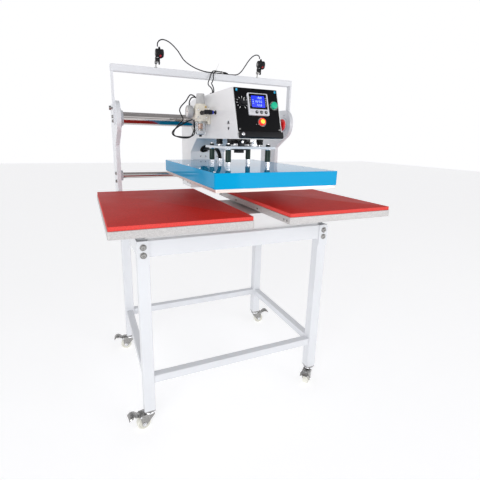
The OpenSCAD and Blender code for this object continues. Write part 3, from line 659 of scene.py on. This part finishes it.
def add_controller():
    cx, cy = 1, 111
    case = slab(rounded(72, 72, 4, 5), 2.6, 9.6, 1.1, 3)
    cuts = [moved(slab(rounded(63, 50, 3, 4), 8.0, 12), 0, 8.5)]
    for x in KEYS.values():
        cuts.append(moved(lathe([(0, -1), (5.3, -1), (5.3, 14), (0, 14)], 32), x, -26))
    piece = Piece("controller_case")
    piece.put(carve(case, cuts), SILVER, on_front(cx, cy))
    piece.put(slab(rounded(60, 60, 2, 3), -24, 2.6, 0.8), BLACK, on_front(cx, cy))
    piece.put(slab(rounded(62.6, 49.6, 3, 4), 7.6, 8.9, 0.3), GLOSS_BLACK, on_front(cx, cy + 8.5))
    for sx in (-1, 1):
        for k in range(5):
            piece.put(slab(rounded(2.4, 3.4, 0.6, 2), 8.9, 9.1), GREY,
                      on_front(cx + sx * 27.2, cy - 4 + 6 * k))
    for k in range(3):
        piece.put(slab(rounded(2.2, 2.2, 0.9, 3), 9.6, 9.85), GREY, on_front(cx - 29 + 4 * k, cy - 24.5))
        piece.put(slab(rounded(2.6, 0.8, 0.3, 2), 9.6, 9.8), GREY, on_front(cx - 29 + 4 * k, cy - 28.5))
    piece.done("carriage", ["controller_bezel"], "bezel_silver")

    screen = Piece("display")
    screen.put(slab(rounded(46, 37, 1, 3), 8.9, 9.4, 0.2), LCD_BLUE, on_front(cx, cy + 8.5))
    for row, (text, y, height) in enumerate((("180", 20.5, 8.2), ("1650", 8.6, 8.6), ("030", -3.6, 7.0))):
        pitch = height * 0.86
        start = -pitch * (len(text) - 1) / 2 + (4 if row != 1 else 0)
        for k, symbol in enumerate(text):
            digit(screen, symbol, cx + start + pitch * k, cy + y, height * 0.72)
    for k in range(3):
        screen.put(slab(rounded(4, 1.1, 0.4, 2), 9.42, 9.56), LCD_INK,
                   on_front(cx - 18, cy + 2 + 5.5 * k))
    screen.done("carriage", ["lcd"], "lcd_blue")

    for name, x in KEYS.items():
        key = Piece(f"{name}_cap")
        key.put(lathe([(0, 4.1), (4.7, 4.1), (4.9, 4.5), (4.9, 10.0), (4.5, 11.0), (3.4, 11.4),
                       (0, 11.6)], 36), BLACK, on_front(cx + x, cy - 26))
        if name == "key_right":
            key.put(ring(2.3, 1.6, 0.3, 0.1), MARK, on_front(cx + x, cy - 26, 11.45))
        else:
            turn = 0 if name == "key_mid" else math.pi
            arrow = [(-2.1, -1.2), (2.1, -1.2), (0, 2.0)]
            key.put(slab(arrow, 11.3, 11.75), MARK, on_front(cx + x, cy - 26, 0, turn))
        key.done(name, [name], "black_plastic")


def add_buttons():
    green = Piece("green_lens")
    green.put(lathe([(0, -14), (8.8, -14), (8.8, 7), (10.9, 7), (11, 7.5), (11, 12.2), (10.2, 13.4),
                     (7, 14.3), (0, 14.8)], 48), GREEN_LENS, on_front(*GREEN_AT))
    green.done("button_green", ["button_green"], "push_green")
    red = Piece("red_lens")
    red.put(lathe([(0, -14), (8.8, -14), (8.8, 7), (10.9, 7), (11, 7.5), (11, 12.4), (10.3, 13.4),
                   (7.6, 13.7), (7.4, 13.0), (0, 13.0)], 48), RED_LENS, on_front(*RED_AT))
    red.put(lathe([(0, 12.6), (7.2, 12.6), (7.2, 13.2), (5.5, 14.3), (0, 14.8)], 40), AMBER_LENS,
            on_front(*RED_AT))
    red.done("button_red", ["button_red"], "push_red")

    knob = Piece("timer_knob_cap")
    knob.put(lathe([(0, -12), (3.1, -12), (3.1, 3.4), (12.2, 3.4), (12.6, 4.0), (12.6, 5.6),
                    (11.0, 6.4, True), (10.7, 14.6, True), (9.6, 16.0, True), (8.6, 16.4), (0, 16.4)],
                   144, 12, 1.7), BLACK, on_front(*KNOB))
    knob.put(slab(rounded(1.5, 9, 0.5, 2), 16.2, 16.75, 0.15), MARK, on_front(*KNOB) @ shift(0, 5))
    knob.done("timer_knob", ["timer_knob"], "black_plastic")

    marks = Piece("panel_marks")
    for k in range(11):
        a = math.radians(240 - 30 * k)
        long = 6.4 if k % 5 == 0 else 4.6
        at = on_front(KNOB[0] + 17.6 * math.cos(a), KNOB[1] + 17.6 * math.sin(a), 0, a)
        marks.put(slab(rounded(long, 1.5, 0.5, 2), 2.5, 2.72), MARK, at)
    for x, y, wide in ((GREEN_AT[0] - 19.0, GREEN_AT[1] + 9, 3.0),
                       (GREEN_AT[0] - 19.0, GREEN_AT[1] - 9, 3.0),
                       (RED_AT[0] - 19, RED_AT[1] - 6, 3.4)):
        marks.put(slab(rounded(wide, 1.0, 0.4, 2), 2.5, 2.7), GREY, on_front(x, y))
    for sx in (-1, 1):
        marks.put(slab(rounded(5.4, 7.6, 1.6, 4), 2.5, 6.2, 0.8), CYAN, on_front(sx * 68, 156.5))
    marks.done("carriage", slot="panel_black")


def add_handle():
    bar = Piece("grip_bar")
    for x0, x1 in ((-76, -56.4), (-55.6, 76)):
        along = on_front(x0, 11.5, 7.1) @ spin(90, "Y") @ spin(90)
        bar.put(slab(rounded(20, 14, 4, 5), 0, x1 - x0, 0.8, 2), BLACK, along)
    bar.put(lathe([(0, 0), (5.4, 0), (5.4, 1.6), (4.4, 2.6), (2.4, 2.9), (2.4, 1.4), (0, 1.4)], 32),
            STEEL, on_front(-66, 11.5, 14.0))
    bar.done("carriage", ["handle_bar"], "panel_black")


def add_stop():
    at = aim((arm_hi.x, -0.222, 1.088), (1, 0, 0))
    stop = Piece("stop_mushroom")
    stop.put(lathe([(0, -16), (7.8, -16), (7.8, 12.4), (16.5, 12.8), (18.6, 14.0), (19.4, 16.0),
                    (19.2, 18.4), (17.4, 21.2), (12, 23.4), (6, 24.2), (0, 24.4)], 64), STOP_RED, at)
    stop.done("stop_button", ["estop"], "stop_red")


add_controller()
add_buttons()
add_handle()
add_stop()


# ---- air set on the left of the head
REG = Vector((HEAD_X - 0.114, 0.005, 0))


def add_regulator():
    def up(z, x=0.0, y=0.0):
        return Matrix.Translation(REG) @ shift(x, y, z)

    def on_side(x, z, sy=-1, out=0.0):
        return aim(REG + Vector((x * MM, sy * (21 + out) * MM, z * MM)), (0, sy, 0))

    body = Piece("regulator_casting")
    body.put(slab(rounded(50, 42, 3.5, 4), 1107, 1146, 1.6, 3), CREAM, up(0))
    body.put(slab(rounded(43, 40, 9, 5), 1145, 1156, 2.0, 3), CREAM, up(0))
    body.put(lathe([(0, 1154), (18.6, 1154), (19, 1155), (19, 1160.4), (18, 1161), (0, 1161)], 48),
             CREAM, up(0))
    body.put(lathe([(0, 1100), (20.4, 1100), (21, 1100.8), (21, 1107), (19.4, 1109), (0, 1109)], 56,
                   14, 0.9), CREAM, up(0))
    body.put(block(17, 24, 24, 1.4, 2), CREAM, up(1112, 27.5))
    body.put(block(9, 34, 34, 1.2, 2), CREAM, up(1107, 29.5))
    for sy in (-1, 1):
        body.put(slab(rounded(38, 33, 4, 4), -0.4, 1.5, 0.6, 2), CREAM, on_side(0, 1127, sy))
        body.put(lathe([(0, 1), (10.5, 1), (10.5, 2.6), (9.6, 3.2), (6.2, 3.2), (6.2, 2.0), (0, 2.0)],
                       40), CREAM, on_side(6, 1127, sy))
        for sx in (-1, 1):
            for z in (1114.5, 1139.5):
                body.put(lathe([(0, 1.4), (2.6, 1.4), (2.6, 2.8), (2.0, 3.3), (0.9, 3.3), (0.9, 2.6),
                                (0, 2.6)], 20), STEEL, on_side(sx * 15.5, z, sy))
    body.put(block(3, 20, 30, 0.5, 1), STEEL, up(1134, 32.4, -4))
    body.put(lathe([(0, 0), (3.6, 0), (3.6, 4.0), (3.0, 5.0), (0, 5.2)], 24), BRASS,
             on_side(13, 1150, -1, -2))
    body.done("carriage", ["regulator_body"], "regulator_cream")

    knob = Piece("pressure_knob")
    knob.put(lathe([(0, 1161.4), (16.0, 1161.4), (16.5, 1162), (16.5, 1165.5), (15.6, 1166.2, True),
                    (15.6, 1186, True), (15.0, 1187.5, True), (14.8, 1189), (14.6, 1194.6),
                    (13.4, 1196.2), (0, 1196.2)], 180, 30, 0.9), GREY, up(0))
    knob.done("regulator_knob", ["regulator_knob"], "knob_grey")

    gauge = Piece("pressure_gauge")
    out = aim(REG + Vector((-0.025, 0, 1.133)), (-1, 0, 0))
    gauge.put(slab(hexagon(7), 0, 6, 0.5), STEEL, out)
    gauge.put(lathe([(0, 5.8), (16, 5.8), (20, 7.4), (21, 9, True), (21, 23.5, True), (20.4, 25.6),
                     (19.2, 27), (17.8, 27), (17.6, 24.6), (0, 24.6)], 144, 36, 0.55), GREY, out)
    gauge.put(lathe([(0, 24.5), (17.5, 24.5), (17.5, 24.9), (0, 24.9)], 48), DIAL, out)
    for k in range(13):
        a = math.radians(225 - 22.5 * k)
        tick = out @ Matrix.Rotation(a, 4, "Z") @ shift(14.2)
        gauge.put(slab(rounded(3.4 if k % 3 == 0 else 2.2, 0.7, 0.2, 2), 24.9, 25.1), BLACK, tick)
    gauge.put(slab([(-3, -0.9), (12.5, -0.25), (12.5, 0.25), (-3, 0.9)], 25.2, 25.5), STOP_RED,
              out @ spin(118))
    gauge.put(lathe([(0, 25.0), (2.0, 25.0), (1.8, 26.0), (0, 26.2)], 24), BLACK, out)
    gauge.done("carriage", ["gauge"], "gauge_dark")

    bowl = Piece("filter_bowl")
    bowl.put(lathe([(5, 1052.4), (12.4, 1052.4), (16.6, 1055.5), (18.6, 1060), (19, 1066), (19, 1094),
                    (18.2, 1100), (16.2, 1100), (16.2, 1064), (14, 1058.5), (11, 1055), (5, 1054.6),
                    (5, 1052.4)], 56), CLEAR, up(0))
    bowl.put(lathe([(0, 1072), (8.4, 1072), (9, 1072.8), (9, 1092), (0, 1092)], 40), COPPER, up(0))
    bowl.put(lathe([(0, 1092), (11, 1092), (13.5, 1095), (13.5, 1100), (0, 1100)], 40, 12, 1.0), CREAM,
             up(0))
    bowl.put(lathe([(0, 1066), (12.6, 1066), (13, 1067), (9, 1070), (3, 1072), (0, 1072)], 40), CREAM,
             up(0))
    for k in range(8):
        a = math.radians(45 * k + 20)
        bowl.put(block(1.6, 1.4, 24, 0.4, 0.4), CLEAR, up(1083, 18.6 * math.cos(a), 18.6 * math.sin(a)))
    bowl.put(lathe([(0, 1045.4), (3.4, 1045.4), (5.4, 1047), (5.4, 1052), (7.4, 1053.4), (0, 1054.6)],
                   32, 8, 0.8), BLACK, up(0))
    bowl.done("carriage", ["bowl"], "bowl_clear")


def add_black_fittings():
    inlet = Piece("elbow_fitting")
    at = aim(REG + Vector((-0.002, -0.021, 1.129)), (0, -1, 0))
    inlet.put(slab(hexagon(8.4), 1, 8, 0.7), BLACK, at)
    inlet.put(lathe([(0, 8), (6.0, 8), (6.6, 9), (6.6, 15), (6.0, 16), (6.6, 17), (6.6, 23), (6.0, 24),
                     (6.6, 25), (6.6, 31), (6.0, 32), (6.4, 33), (6.4, 50), (0, 50)], 40, 20, 0.6),
              BLACK, at)
    run = REG + Vector((-0.002, -0.071, 1.129))
    along = aim(run, (1, 0, 0))
    inlet.put(lathe([(0, -7.4), (5.6, -7.4), (7.2, -5.8), (7.6, -3, True), (7.6, 8, True), (6.8, 9.4),
                     (7.6, 10.8, True), (7.6, 20.6, True), (6.8, 22), (0, 22)], 96, 16, 0.7), BLACK,
              along)
    inlet.put(lathe([(0, 21.6), (6.0, 21.6), (6.6, 22.4), (6.6, 25.4), (5.6, 26.2), (0, 26.2)], 40),
              AIR_BLUE, along)
    hose = [run + Vector((x * MM, 0, 0)) for x in (24, 28, 32, 37.6)]
    inlet.put(tube(smooth_line(hose, 4), 0.004, 20), RUBBER)
    inlet.put(ring(7.4, 4.3, 2.2, 0.7), BLACK, aim((arm_lo.x, run.y, 1.129), (-1, 0, 0)))
    for y, z in ((0.108, 1.180), (0.092, 1.176)):
        inlet.put(lathe([(2.3, 0), (5.0, 0), (5.4, 0.6), (5.4, 3.4), (4.4, 4.4), (2.3, 4.4), (2.3, 0)],
                        28), BLACK, aim((arm_lo.x, y, z), (-1, 0, 0)))
    inlet.done("carriage", ["black_fittings"], "black_plastic")

    slope = math.atan2(58, 90)
    out = Matrix.Translation((HEAD_X - 0.023, 0.225, 0.9975)) @ Matrix.Rotation(math.pi - slope, 4, "X")
    boot = Piece("oval_grommet")
    boot.put(carve(slab(rounded(38, 54, 19, 10), -4, 4, 1.6, 3), [slab(rounded(28, 46, 14, 10), -8, 9)]),
             RUBBER, out)
    boot.done("carriage", ["black_fittings"], "black_plastic", 50)

    side = aim((arm_lo.x, -0.188, 1.086), (-1, 0, 0))
    outer = [on_circle(14, a) for a in range(0, 181, 12)]
    inner = [on_circle(10.4, a) for a in range(180, -1, -12)]
    louvre = Piece("side_louvre")
    louvre.put(slab(outer + inner, 0, 2.6, 0.8, 2), WHITE_WARM, side @ shift(0, 0.5))
    # The dark half-disc inside the arch is painted shade: a black sheet standing in for the shadow in the
    # louvre's recess.
    louvre.put(slab(inner, 0.1, 0.8), DARK_STEEL_AND_SHADE, side @ shift(0, 0.5))
    louvre.put(lathe([(0, 0), (4.4, 0), (4.4, 1.6), (3.4, 2.6), (1.4, 2.8), (1.4, 2.0), (0, 2.0)], 28),
               DARK_STEEL_AND_SHADE, side @ shift(0, -13))
    louvre.done("carriage", ["black_fittings"], "black_plastic")

    bush = Piece("cable_bush")
    bush.put(ring(12, 7.2, 3, 0.8), BLACK, shift(-48, -4, 1197))
    bush.done("carriage", ["black_fittings"], "black_plastic")


add_regulator()
add_black_fittings()


# ---- press posts
def add_posts():
    plate_lo, plate_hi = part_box("pressure_plate")
    cover_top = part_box("platen_cover")[1].z / MM
    low, high = cover_top + 14, plate_lo.z / MM
    top = plate_hi.z / MM
    mid = (plate_lo + plate_hi) / 2
    posts = Piece("press_posts")
    grooves = []
    steps = 22
    for k in range(steps + 1):
        z = low + 3 + (high - low - 8) * k / steps
        grooves.append((9.9 if k % 2 else 9.35, z))
    for sx in (-1, 1):
        for sy in (-1, 1):
            at = Matrix.Translation((mid.x + sx * 0.075, mid.y + sy * 0.080, 0))
            posts.put(lathe([(0, low), (8.8, low), (9.2, low + 0.6), (9.2, low + 2.4)] + grooves
                            + [(9.2, high - 4), (0, high - 4)], 40), GREEN_SLEEVE, at)
            posts.put(lathe([(0, high - 4), (9.6, high - 4), (9.9, high - 3.4), (9.9, high),
                             (0, high)], 40), STEEL, at)
            posts.put(slab(hexagon(9), top, top + 7, 0.7), ANODISED, at)
            posts.put(lathe([(0, top + 7), (5, top + 7), (5, top + 9.4), (4.2, top + 10.2),
                             (0, top + 10.2)], 28), STEEL, at)
    hub = Matrix.Translation((mid.x, mid.y, 0))
    posts.put(lathe([(0, high - 6), (32, high - 6), (34, high - 5, True), (34, high - 1, True),
                     (33, high), (0, high)], 144, 36, 1.2), ANODISED, hub)
    posts.put(slab(hexagon(20), high - 16, high - 6, 0.8), ANODISED, hub)
    posts.done("press", ["posts"], "cylinder_black")


add_posts()


def add_under_arm():
    """Knurled guide bushes, a clamp block and a port under the arm, and the screws on the cover."""
    plate = (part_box("pressure_plate")[0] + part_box("pressure_plate")[1]) / 2
    under = Piece("under_arm_bushes")
    bush = [(8.2, 1021), (11.2, 1021), (11.9, 1022, True), (11.9, 1028, True), (10.8, 1029),
            (10.8, 1030.4), (11.9, 1031.4, True), (11.9, 1039, True), (11.4, 1040.2), (8.2, 1040.2),
            (8.2, 1021)]
    for sx in (-1, 1):
        for sy in (-1, 1):
            under.put(lathe(bush, 120, 24, 0.8), ANODISED,
                      Matrix.Translation((plate.x + sx * 0.056, plate.y + sy * 0.052, 0)))
    centre = Matrix.Translation((plate.x, plate.y, 0))
    under.put(lathe([(12.8, 1024), (24, 1024), (25, 1025, True), (25, 1030, True), (28, 1031),
                     (32.9, 1033), (32.9, 1040.2), (12.8, 1040.2), (12.8, 1024)], 144, 36, 1.0),
              ANODISED, centre)
    for dx, dy in ((14, -86), (-30, -84)):
        under.put(block(20, 16, 19, 1.0, 1.5), STEEL if dx > 0 else ANODISED,
                  Matrix.Translation((plate.x + dx * MM, plate.y + dy * MM, 1.0212)))
        port = aim((plate.x + dx * MM, plate.y + (dy - 8) * MM, 1.031), (0, -1, 0))
        under.put(lathe([(0, 0), (4.4, 0), (4.4, 2.6), (3.6, 3.4), (2.0, 3.4), (2.0, 1.6), (0, 1.6)],
                        28), STEEL, port)
    under.done("carriage", slot="cylinder_black")

    lo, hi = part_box("platen_cover")
    screws = Piece("cover_screws")
    head = [(0, 0), (3.6, 0), (3.5, 0.9), (2.6, 1.7), (1.2, 2.0), (0, 2.0)]
    spots = [(x, y) for x in (lo.x + 0.012, hi.x - 0.012) for y in (-0.36, -0.23, -0.10, 0.03, 0.17)]
    for x, y in spots + [(plate.x - 0.09, hi.y - 0.012), (plate.x + 0.09, hi.y - 0.012)]:
        screws.put(lathe(head, 24), STEEL, Matrix.Translation((x, y, hi.z)))
    screws.done("press", slot="zinc_steel")


add_under_arm()


# ---- line lasers
def add_laser(side):
    """A clip holds the bar's pin, and the round head above it carries the barrel, aimed at the table."""
    lo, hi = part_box(f"laser_{side}")
    pivot = Vector(((lo.x + hi.x) / 2, 0.174, 1.318))
    here = Matrix.Translation(pivot)
    head = Piece(f"line_laser_{side}")
    head.put(lathe([(0, -9.4), (2.4, -9.4), (2.4, 9.4), (0, 9.4)], 20), STEEL, aim(pivot, (1, 0, 0)))
    jaw = [(-5, 4), (-6, -2), (-4.5, -6), (0, -7), (4.5, -6), (6, -2), (5, 4), (6.5, 12), (5, 20),
           (-5, 20), (-6.5, 12)]
    for sx in (-1, 1):
        head.put(slab(jaw, 4.3 if sx > 0 else -8.3, 8.3 if sx > 0 else -4.3, 0.8, 2), BLACK,
                 here @ spin(90, "X") @ spin(90, "Y"))
        for k in range(4):
            head.put(block(0.8, 11, 1.0, 0.25, 0.3), BLACK,
                     Matrix.Translation(pivot + Vector((sx * 0.0086, 0, 0.002 + 0.004 * k))))
    head.put(block(16.4, 12, 13, 1.6, 2.5), BLACK, here @ shift(0, 0, 10.5))
    eye = pivot + Vector((0.008, 0, 0.034))
    drum = aim(eye - Vector((0.015, 0, 0)), (1, 0, 0))
    head.put(lathe([(0, 0), (12.6, 0), (14.2, 0.8), (15, 2.4, True), (15, 9, True), (13.6, 10.4),
                    (13.6, 19.6), (15, 21, True), (15, 27.6, True), (14.2, 29.2), (12.6, 30), (0, 30)],
                   120, 20, 0.8), BLACK, drum)
    for out in (-1, 1):
        cap = aim(eye + Vector((out * 0.0152, 0, 0)), (out, 0, 0))
        head.put(lathe([(0, -0.4), (5, -0.4), (5, 0.6), (4.4, 1.0), (1.8, 1.0), (1.8, 0.2), (0, 0.2)],
                       28), GUNMETAL, cap)
    tilt = math.radians(35)
    nose = aim(eye, (0, -math.cos(tilt), -math.sin(tilt)))
    head.put(lathe([(0, 4), (9.4, 4), (10, 5), (10, 15), (9.2, 16), (9.2, 19), (10, 20), (10, 23),
                    (9, 24), (6, 24), (5, 22), (0, 22)], 40), BLACK, nose)
    head.put(lathe([(0, 22), (4.6, 22), (4.2, 23.2), (0, 23.8)], 28), LASER_RED, nose)
    head.put(lathe([(0, 12), (5.4, 12), (5.4, 14), (4.6, 15.2), (4.6, 18), (3.6, 19), (3.2, 22.1),
                    (0, 22.1)], 24), BLACK, Matrix.Translation(eye))
    head.done(f"laser_{side}", [f"laser_{side}"], "laser_black")


for side in ("left", "right"):
    add_laser(side)


def add_ties():
    """White nylon ties hold the cables together where they lie on the bar."""
    ties = Piece("cable_ties")
    for x in (0.026, 0.052):
        loop = [Vector((x, 0.1715 + 0.0085 * math.cos(a), 1.3040 + 0.0066 * math.sin(a)))
                for a in [2 * math.pi * k / 28 for k in range(29)]]
        ties.put(tube(loop, 0.0011, 8), TIE)
    ties.put(block(4.5, 5, 4, 0.6, 0.8), TIE, shift(26, 166.5, 1310.8))
    tail = [(0.026, 0.166, 1.312), (0.029, 0.165, 1.320), (0.034, 0.163, 1.328), (0.036, 0.161, 1.336)]
    ties.put(tube(smooth_line(tail, 6), 0.0008, 8), TIE)
    ties.done("stand", slot="cable_black")


add_ties()


# ---- casters
CASTERS = {"fl": 188, "fr": 222, "rl": 172, "rr": -8}
CASTER_X, CASTER_FRONT, CASTER_REAR = 350, -172, 363
TRAIL, AXLE_Z = 24, 25


def pedal_plate():
    """The brake pedal: a curved plate that widens and rolls down at its end."""
    bm = bmesh.new()
    rows = []
    stations = ((37, 63.6, 8.5), (41, 65.6, 9.6), (46, 69.0, 12.4), (52, 72.4, 16.4), (58, 74.6, 18.6),
                (64, 75.2, 19.2), (70, 73.8, 19.3), (75, 70.6, 18.9), (79, 66.2, 17.6))
    for x, z, half in stations:
        row = []
        for k in range(17):
            s = -1 + k / 8
            row.append(bm.verts.new((x * MM, s * half * MM, (z - 1.6 * s * s - 6.0 * s ** 10) * MM)))
        rows.append(row)
    for a, b in zip(rows, rows[1:]):
        for k in range(16):
            bm.faces.new((a[k], b[k], b[k + 1], a[k + 1]))
    bmesh.ops.recalc_face_normals(bm, faces=bm.faces)
    bmesh.ops.solidify(bm, geom=list(bm.faces), thickness=0.0017)
    return bm


def add_caster(corner, angle):
    sx = -1 if corner.endswith("l") else 1
    cy = CASTER_FRONT if corner.startswith("f") else CASTER_REAR
    here = shift(sx * CASTER_X, cy) @ spin(angle)
    flat = here @ spin(90, "X")
    cheek = ([(-15, 60), (-15, 54)] + arc(TRAIL, AXLE_Z, 9.5, 208, 330, 10)
             + arc(30, 48, 6, -10, 30, 4) + [(41, 56), (42, 60), (36, 64), (-10, 64)])
    fork = Piece(f"fork_{corner}")
    for low, high in ((-16.6, -13.6), (13.6, 16.6)):
        fork.put(slab(cheek, low, high, 0.7, 2), GUNMETAL, flat)
    fork.put(lathe([(0, 56.6), (15, 56.6), (17.4, 58), (19.4, 61.5), (19.4, 65.4), (17.6, 67.4),
                    (8, 67.6), (0, 67.6)], 48), GUNMETAL, here)
    fork.put(lathe([(12, 60.8), (19.4, 60.8), (21.2, 62.2), (21.4, 65.0), (19.6, 68.4), (15, 70.6),
                    (12, 70.8), (12, 60.8)], 56), STEEL, here)
    for a in (35, 145, 215, 325):
        spot = spin(a) @ shift(20.5, 0, 65.5)
        fork.put(lathe([(0, -1.2), (2.6, -1.2), (2.6, 1.2), (0, 1.2)], 20), DARK_STEEL_AND_SHADE,
                 here @ spot @ spin(62, "Y"))
    fork.put(slab(rounded(52, 33, 5, 4), 61.6, 64.2, 0.8, 2), GUNMETAL, here @ shift(12))
    for turn in (90, -90):
        side = here @ shift(TRAIL, 0, AXLE_Z) @ spin(turn, "X")
        fork.put(lathe([(0, 0), (4, 0), (4, 16.4), (7.4, 16.4), (7.4, 17.4), (6.6, 17.8), (0, 17.8)],
                       28), STEEL, side)
        fork.put(slab(hexagon(6.2), 17.8, 20.4, 0.6), STEEL, side)
    pin = here @ shift(36, 0, 59.5) @ spin(90, "X")
    fork.put(lathe([(0, -18), (3.6, -18), (3.6, -16.6), (1.9, -16.4), (1.9, 16.4), (3.6, 16.6),
                    (3.6, 18), (0, 18)], 24), STEEL, pin)
    fork.done(f"caster_{corner}", [f"caster_fork_{corner}"], "zinc_steel")

    pedal = Piece(f"pedal_{corner}_plate")
    pedal.put(pedal_plate(), GUNMETAL, here)
    for x, z, lean in ((56, 73.9, -14), (60, 74.9, -5), (64, 75.0, 3), (68, 74.3, 14)):
        pedal.put(block(1.6, 26, 1.5, 0.5, 0.7), GUNMETAL,
                  here @ shift(x, 0, z - 0.6) @ spin(lean, "Y"))
    arm = [(-1, 60), (2.6, 57.4), (8, 61), (14, 66), (14, 68.5), (5, 66), (-1, 63.4)]
    pedal.put(slab([(x + 36, z) for x, z in arm], -7.2, 7.2, 0.7, 2), GUNMETAL, flat)
    pedal.put(lathe([(2.1, -9.8), (3.8, -9.8), (4, -9.4), (4, 9.4), (3.8, 9.8), (2.1, 9.8),
                     (2.1, -9.8)], 28), GUNMETAL, pin)
    pedal.done(f"pedal_{corner}", [f"caster_pedal_{corner}"], "zinc_steel")

    wheel = Piece(f"wheel_{corner}_tyre")
    axle = here @ shift(TRAIL, 0, AXLE_Z) @ spin(90, "X")
    wheel.put(lathe([(4.1, -12.7), (8.6, -12.7), (9, -12.4), (9.6, -8.0), (17, -7.6), (18.8, -10.0),
                     (20, -11), (22.6, -11), (24.2, -10.0), (25, -7.6), (25, 7.6), (24.2, 10.0),
                     (22.6, 11), (20, 11), (18.8, 10.0), (17, 7.6), (9.6, 8.0), (9, 12.4), (8.6, 12.7),
                     (4.1, 12.7), (4.1, -12.7)], 72), NYLON, axle)
    wheel.done(f"wheel_{corner}", [f"caster_wheel_{corner}"], "wheel_cream")


for corner, angle in CASTERS.items():
    add_caster(corner, angle)


# ---- floor and light
def add_floor():
    look = Look("studio_floor", (0.66, 0.66, 0.67), 0.8)
    look.glow((1.0, 1.0, 1.0), 0.52)
    look.mottle(look.noise(3.0, 3.0), 0.992, 1.0)
    bm = bmesh.new()
    bmesh.ops.create_grid(bm, x_segments=2, y_segments=2, size=14)
    mesh = bpy.data.meshes.new("studio_floor")
    bm.to_mesh(mesh)
    bm.free()
    mesh.materials.append(look.mat)
    floor = bpy.data.objects.new("studio_floor", mesh)
    floor.location.z = -0.0005
    show(floor)


def add_softbox(name, place, target, size, power, colour=(1, 1, 1)):
    data = bpy.data.lights.new(name, "AREA")
    data.shape = "RECTANGLE"
    data.size, data.size_y = size
    data.energy = power
    data.color = colour
    lamp = bpy.data.objects.new(name, data)
    lamp.matrix_world = aim(place, Vector(place) - Vector(target))
    show(lamp)


def add_world():
    """White all round, dimmer overhead, with a grey band behind the camera for metal to reflect."""
    world = bpy.data.worlds.new("studio")
    world.use_nodes = True
    bpy.context.scene.world = world
    tree = world.node_tree
    coords = tree.nodes.new("ShaderNodeTexCoord")
    split = tree.nodes.new("ShaderNodeSeparateXYZ")
    tree.links.new(coords.outputs["Generated"], split.inputs[0])

    def ramp(stops):
        made = tree.nodes.new("ShaderNodeValToRGB")
        colours = made.color_ramp
        while len(colours.elements) < len(stops):
            colours.elements.new(0.5)
        for stop, (place, shade) in zip(colours.elements, stops):
            stop.position = place
            stop.color = (shade, shade, shade * 1.02, 1)
        tree.links.new(split.outputs["Z"], made.inputs["Fac"])
        return made.outputs["Color"]

    back = ramp(((0.45, 1.0), (0.62, 0.34)))
    front = ramp(((0.02, 0.95), (0.10, 0.95), (0.14, 0.34), (0.32, 0.34), (0.38, 0.95), (0.52, 0.95),
                  (0.66, 0.34)))
    side = tree.nodes.new("ShaderNodeMapRange")
    side.inputs["From Min"].default_value = -0.10
    side.inputs["From Max"].default_value = -0.35
    tree.links.new(split.outputs["Y"], side.inputs["Value"])
    mix = tree.nodes.new("ShaderNodeMix")
    mix.data_type = "RGBA"
    tree.links.new(side.outputs[0], mix.inputs["Factor"])
    tree.links.new(back, mix.inputs["A"])
    tree.links.new(front, mix.inputs["B"])
    tree.links.new(mix.outputs["Result"], tree.nodes["Background"].inputs["Color"])
    tree.nodes["Background"].inputs["Strength"].default_value = 1.0


add_floor()
add_world()
add_softbox("key", (-2.5, -3.3, 1.5), (0, 0, 0.7), (2.4, 1.8), 60)
add_softbox("fill", (2.4, -3.4, 1.3), (0, 0, 0.6), (2.2, 2.0), 32)
bpy.context.scene.view_settings.view_transform = "Standard"
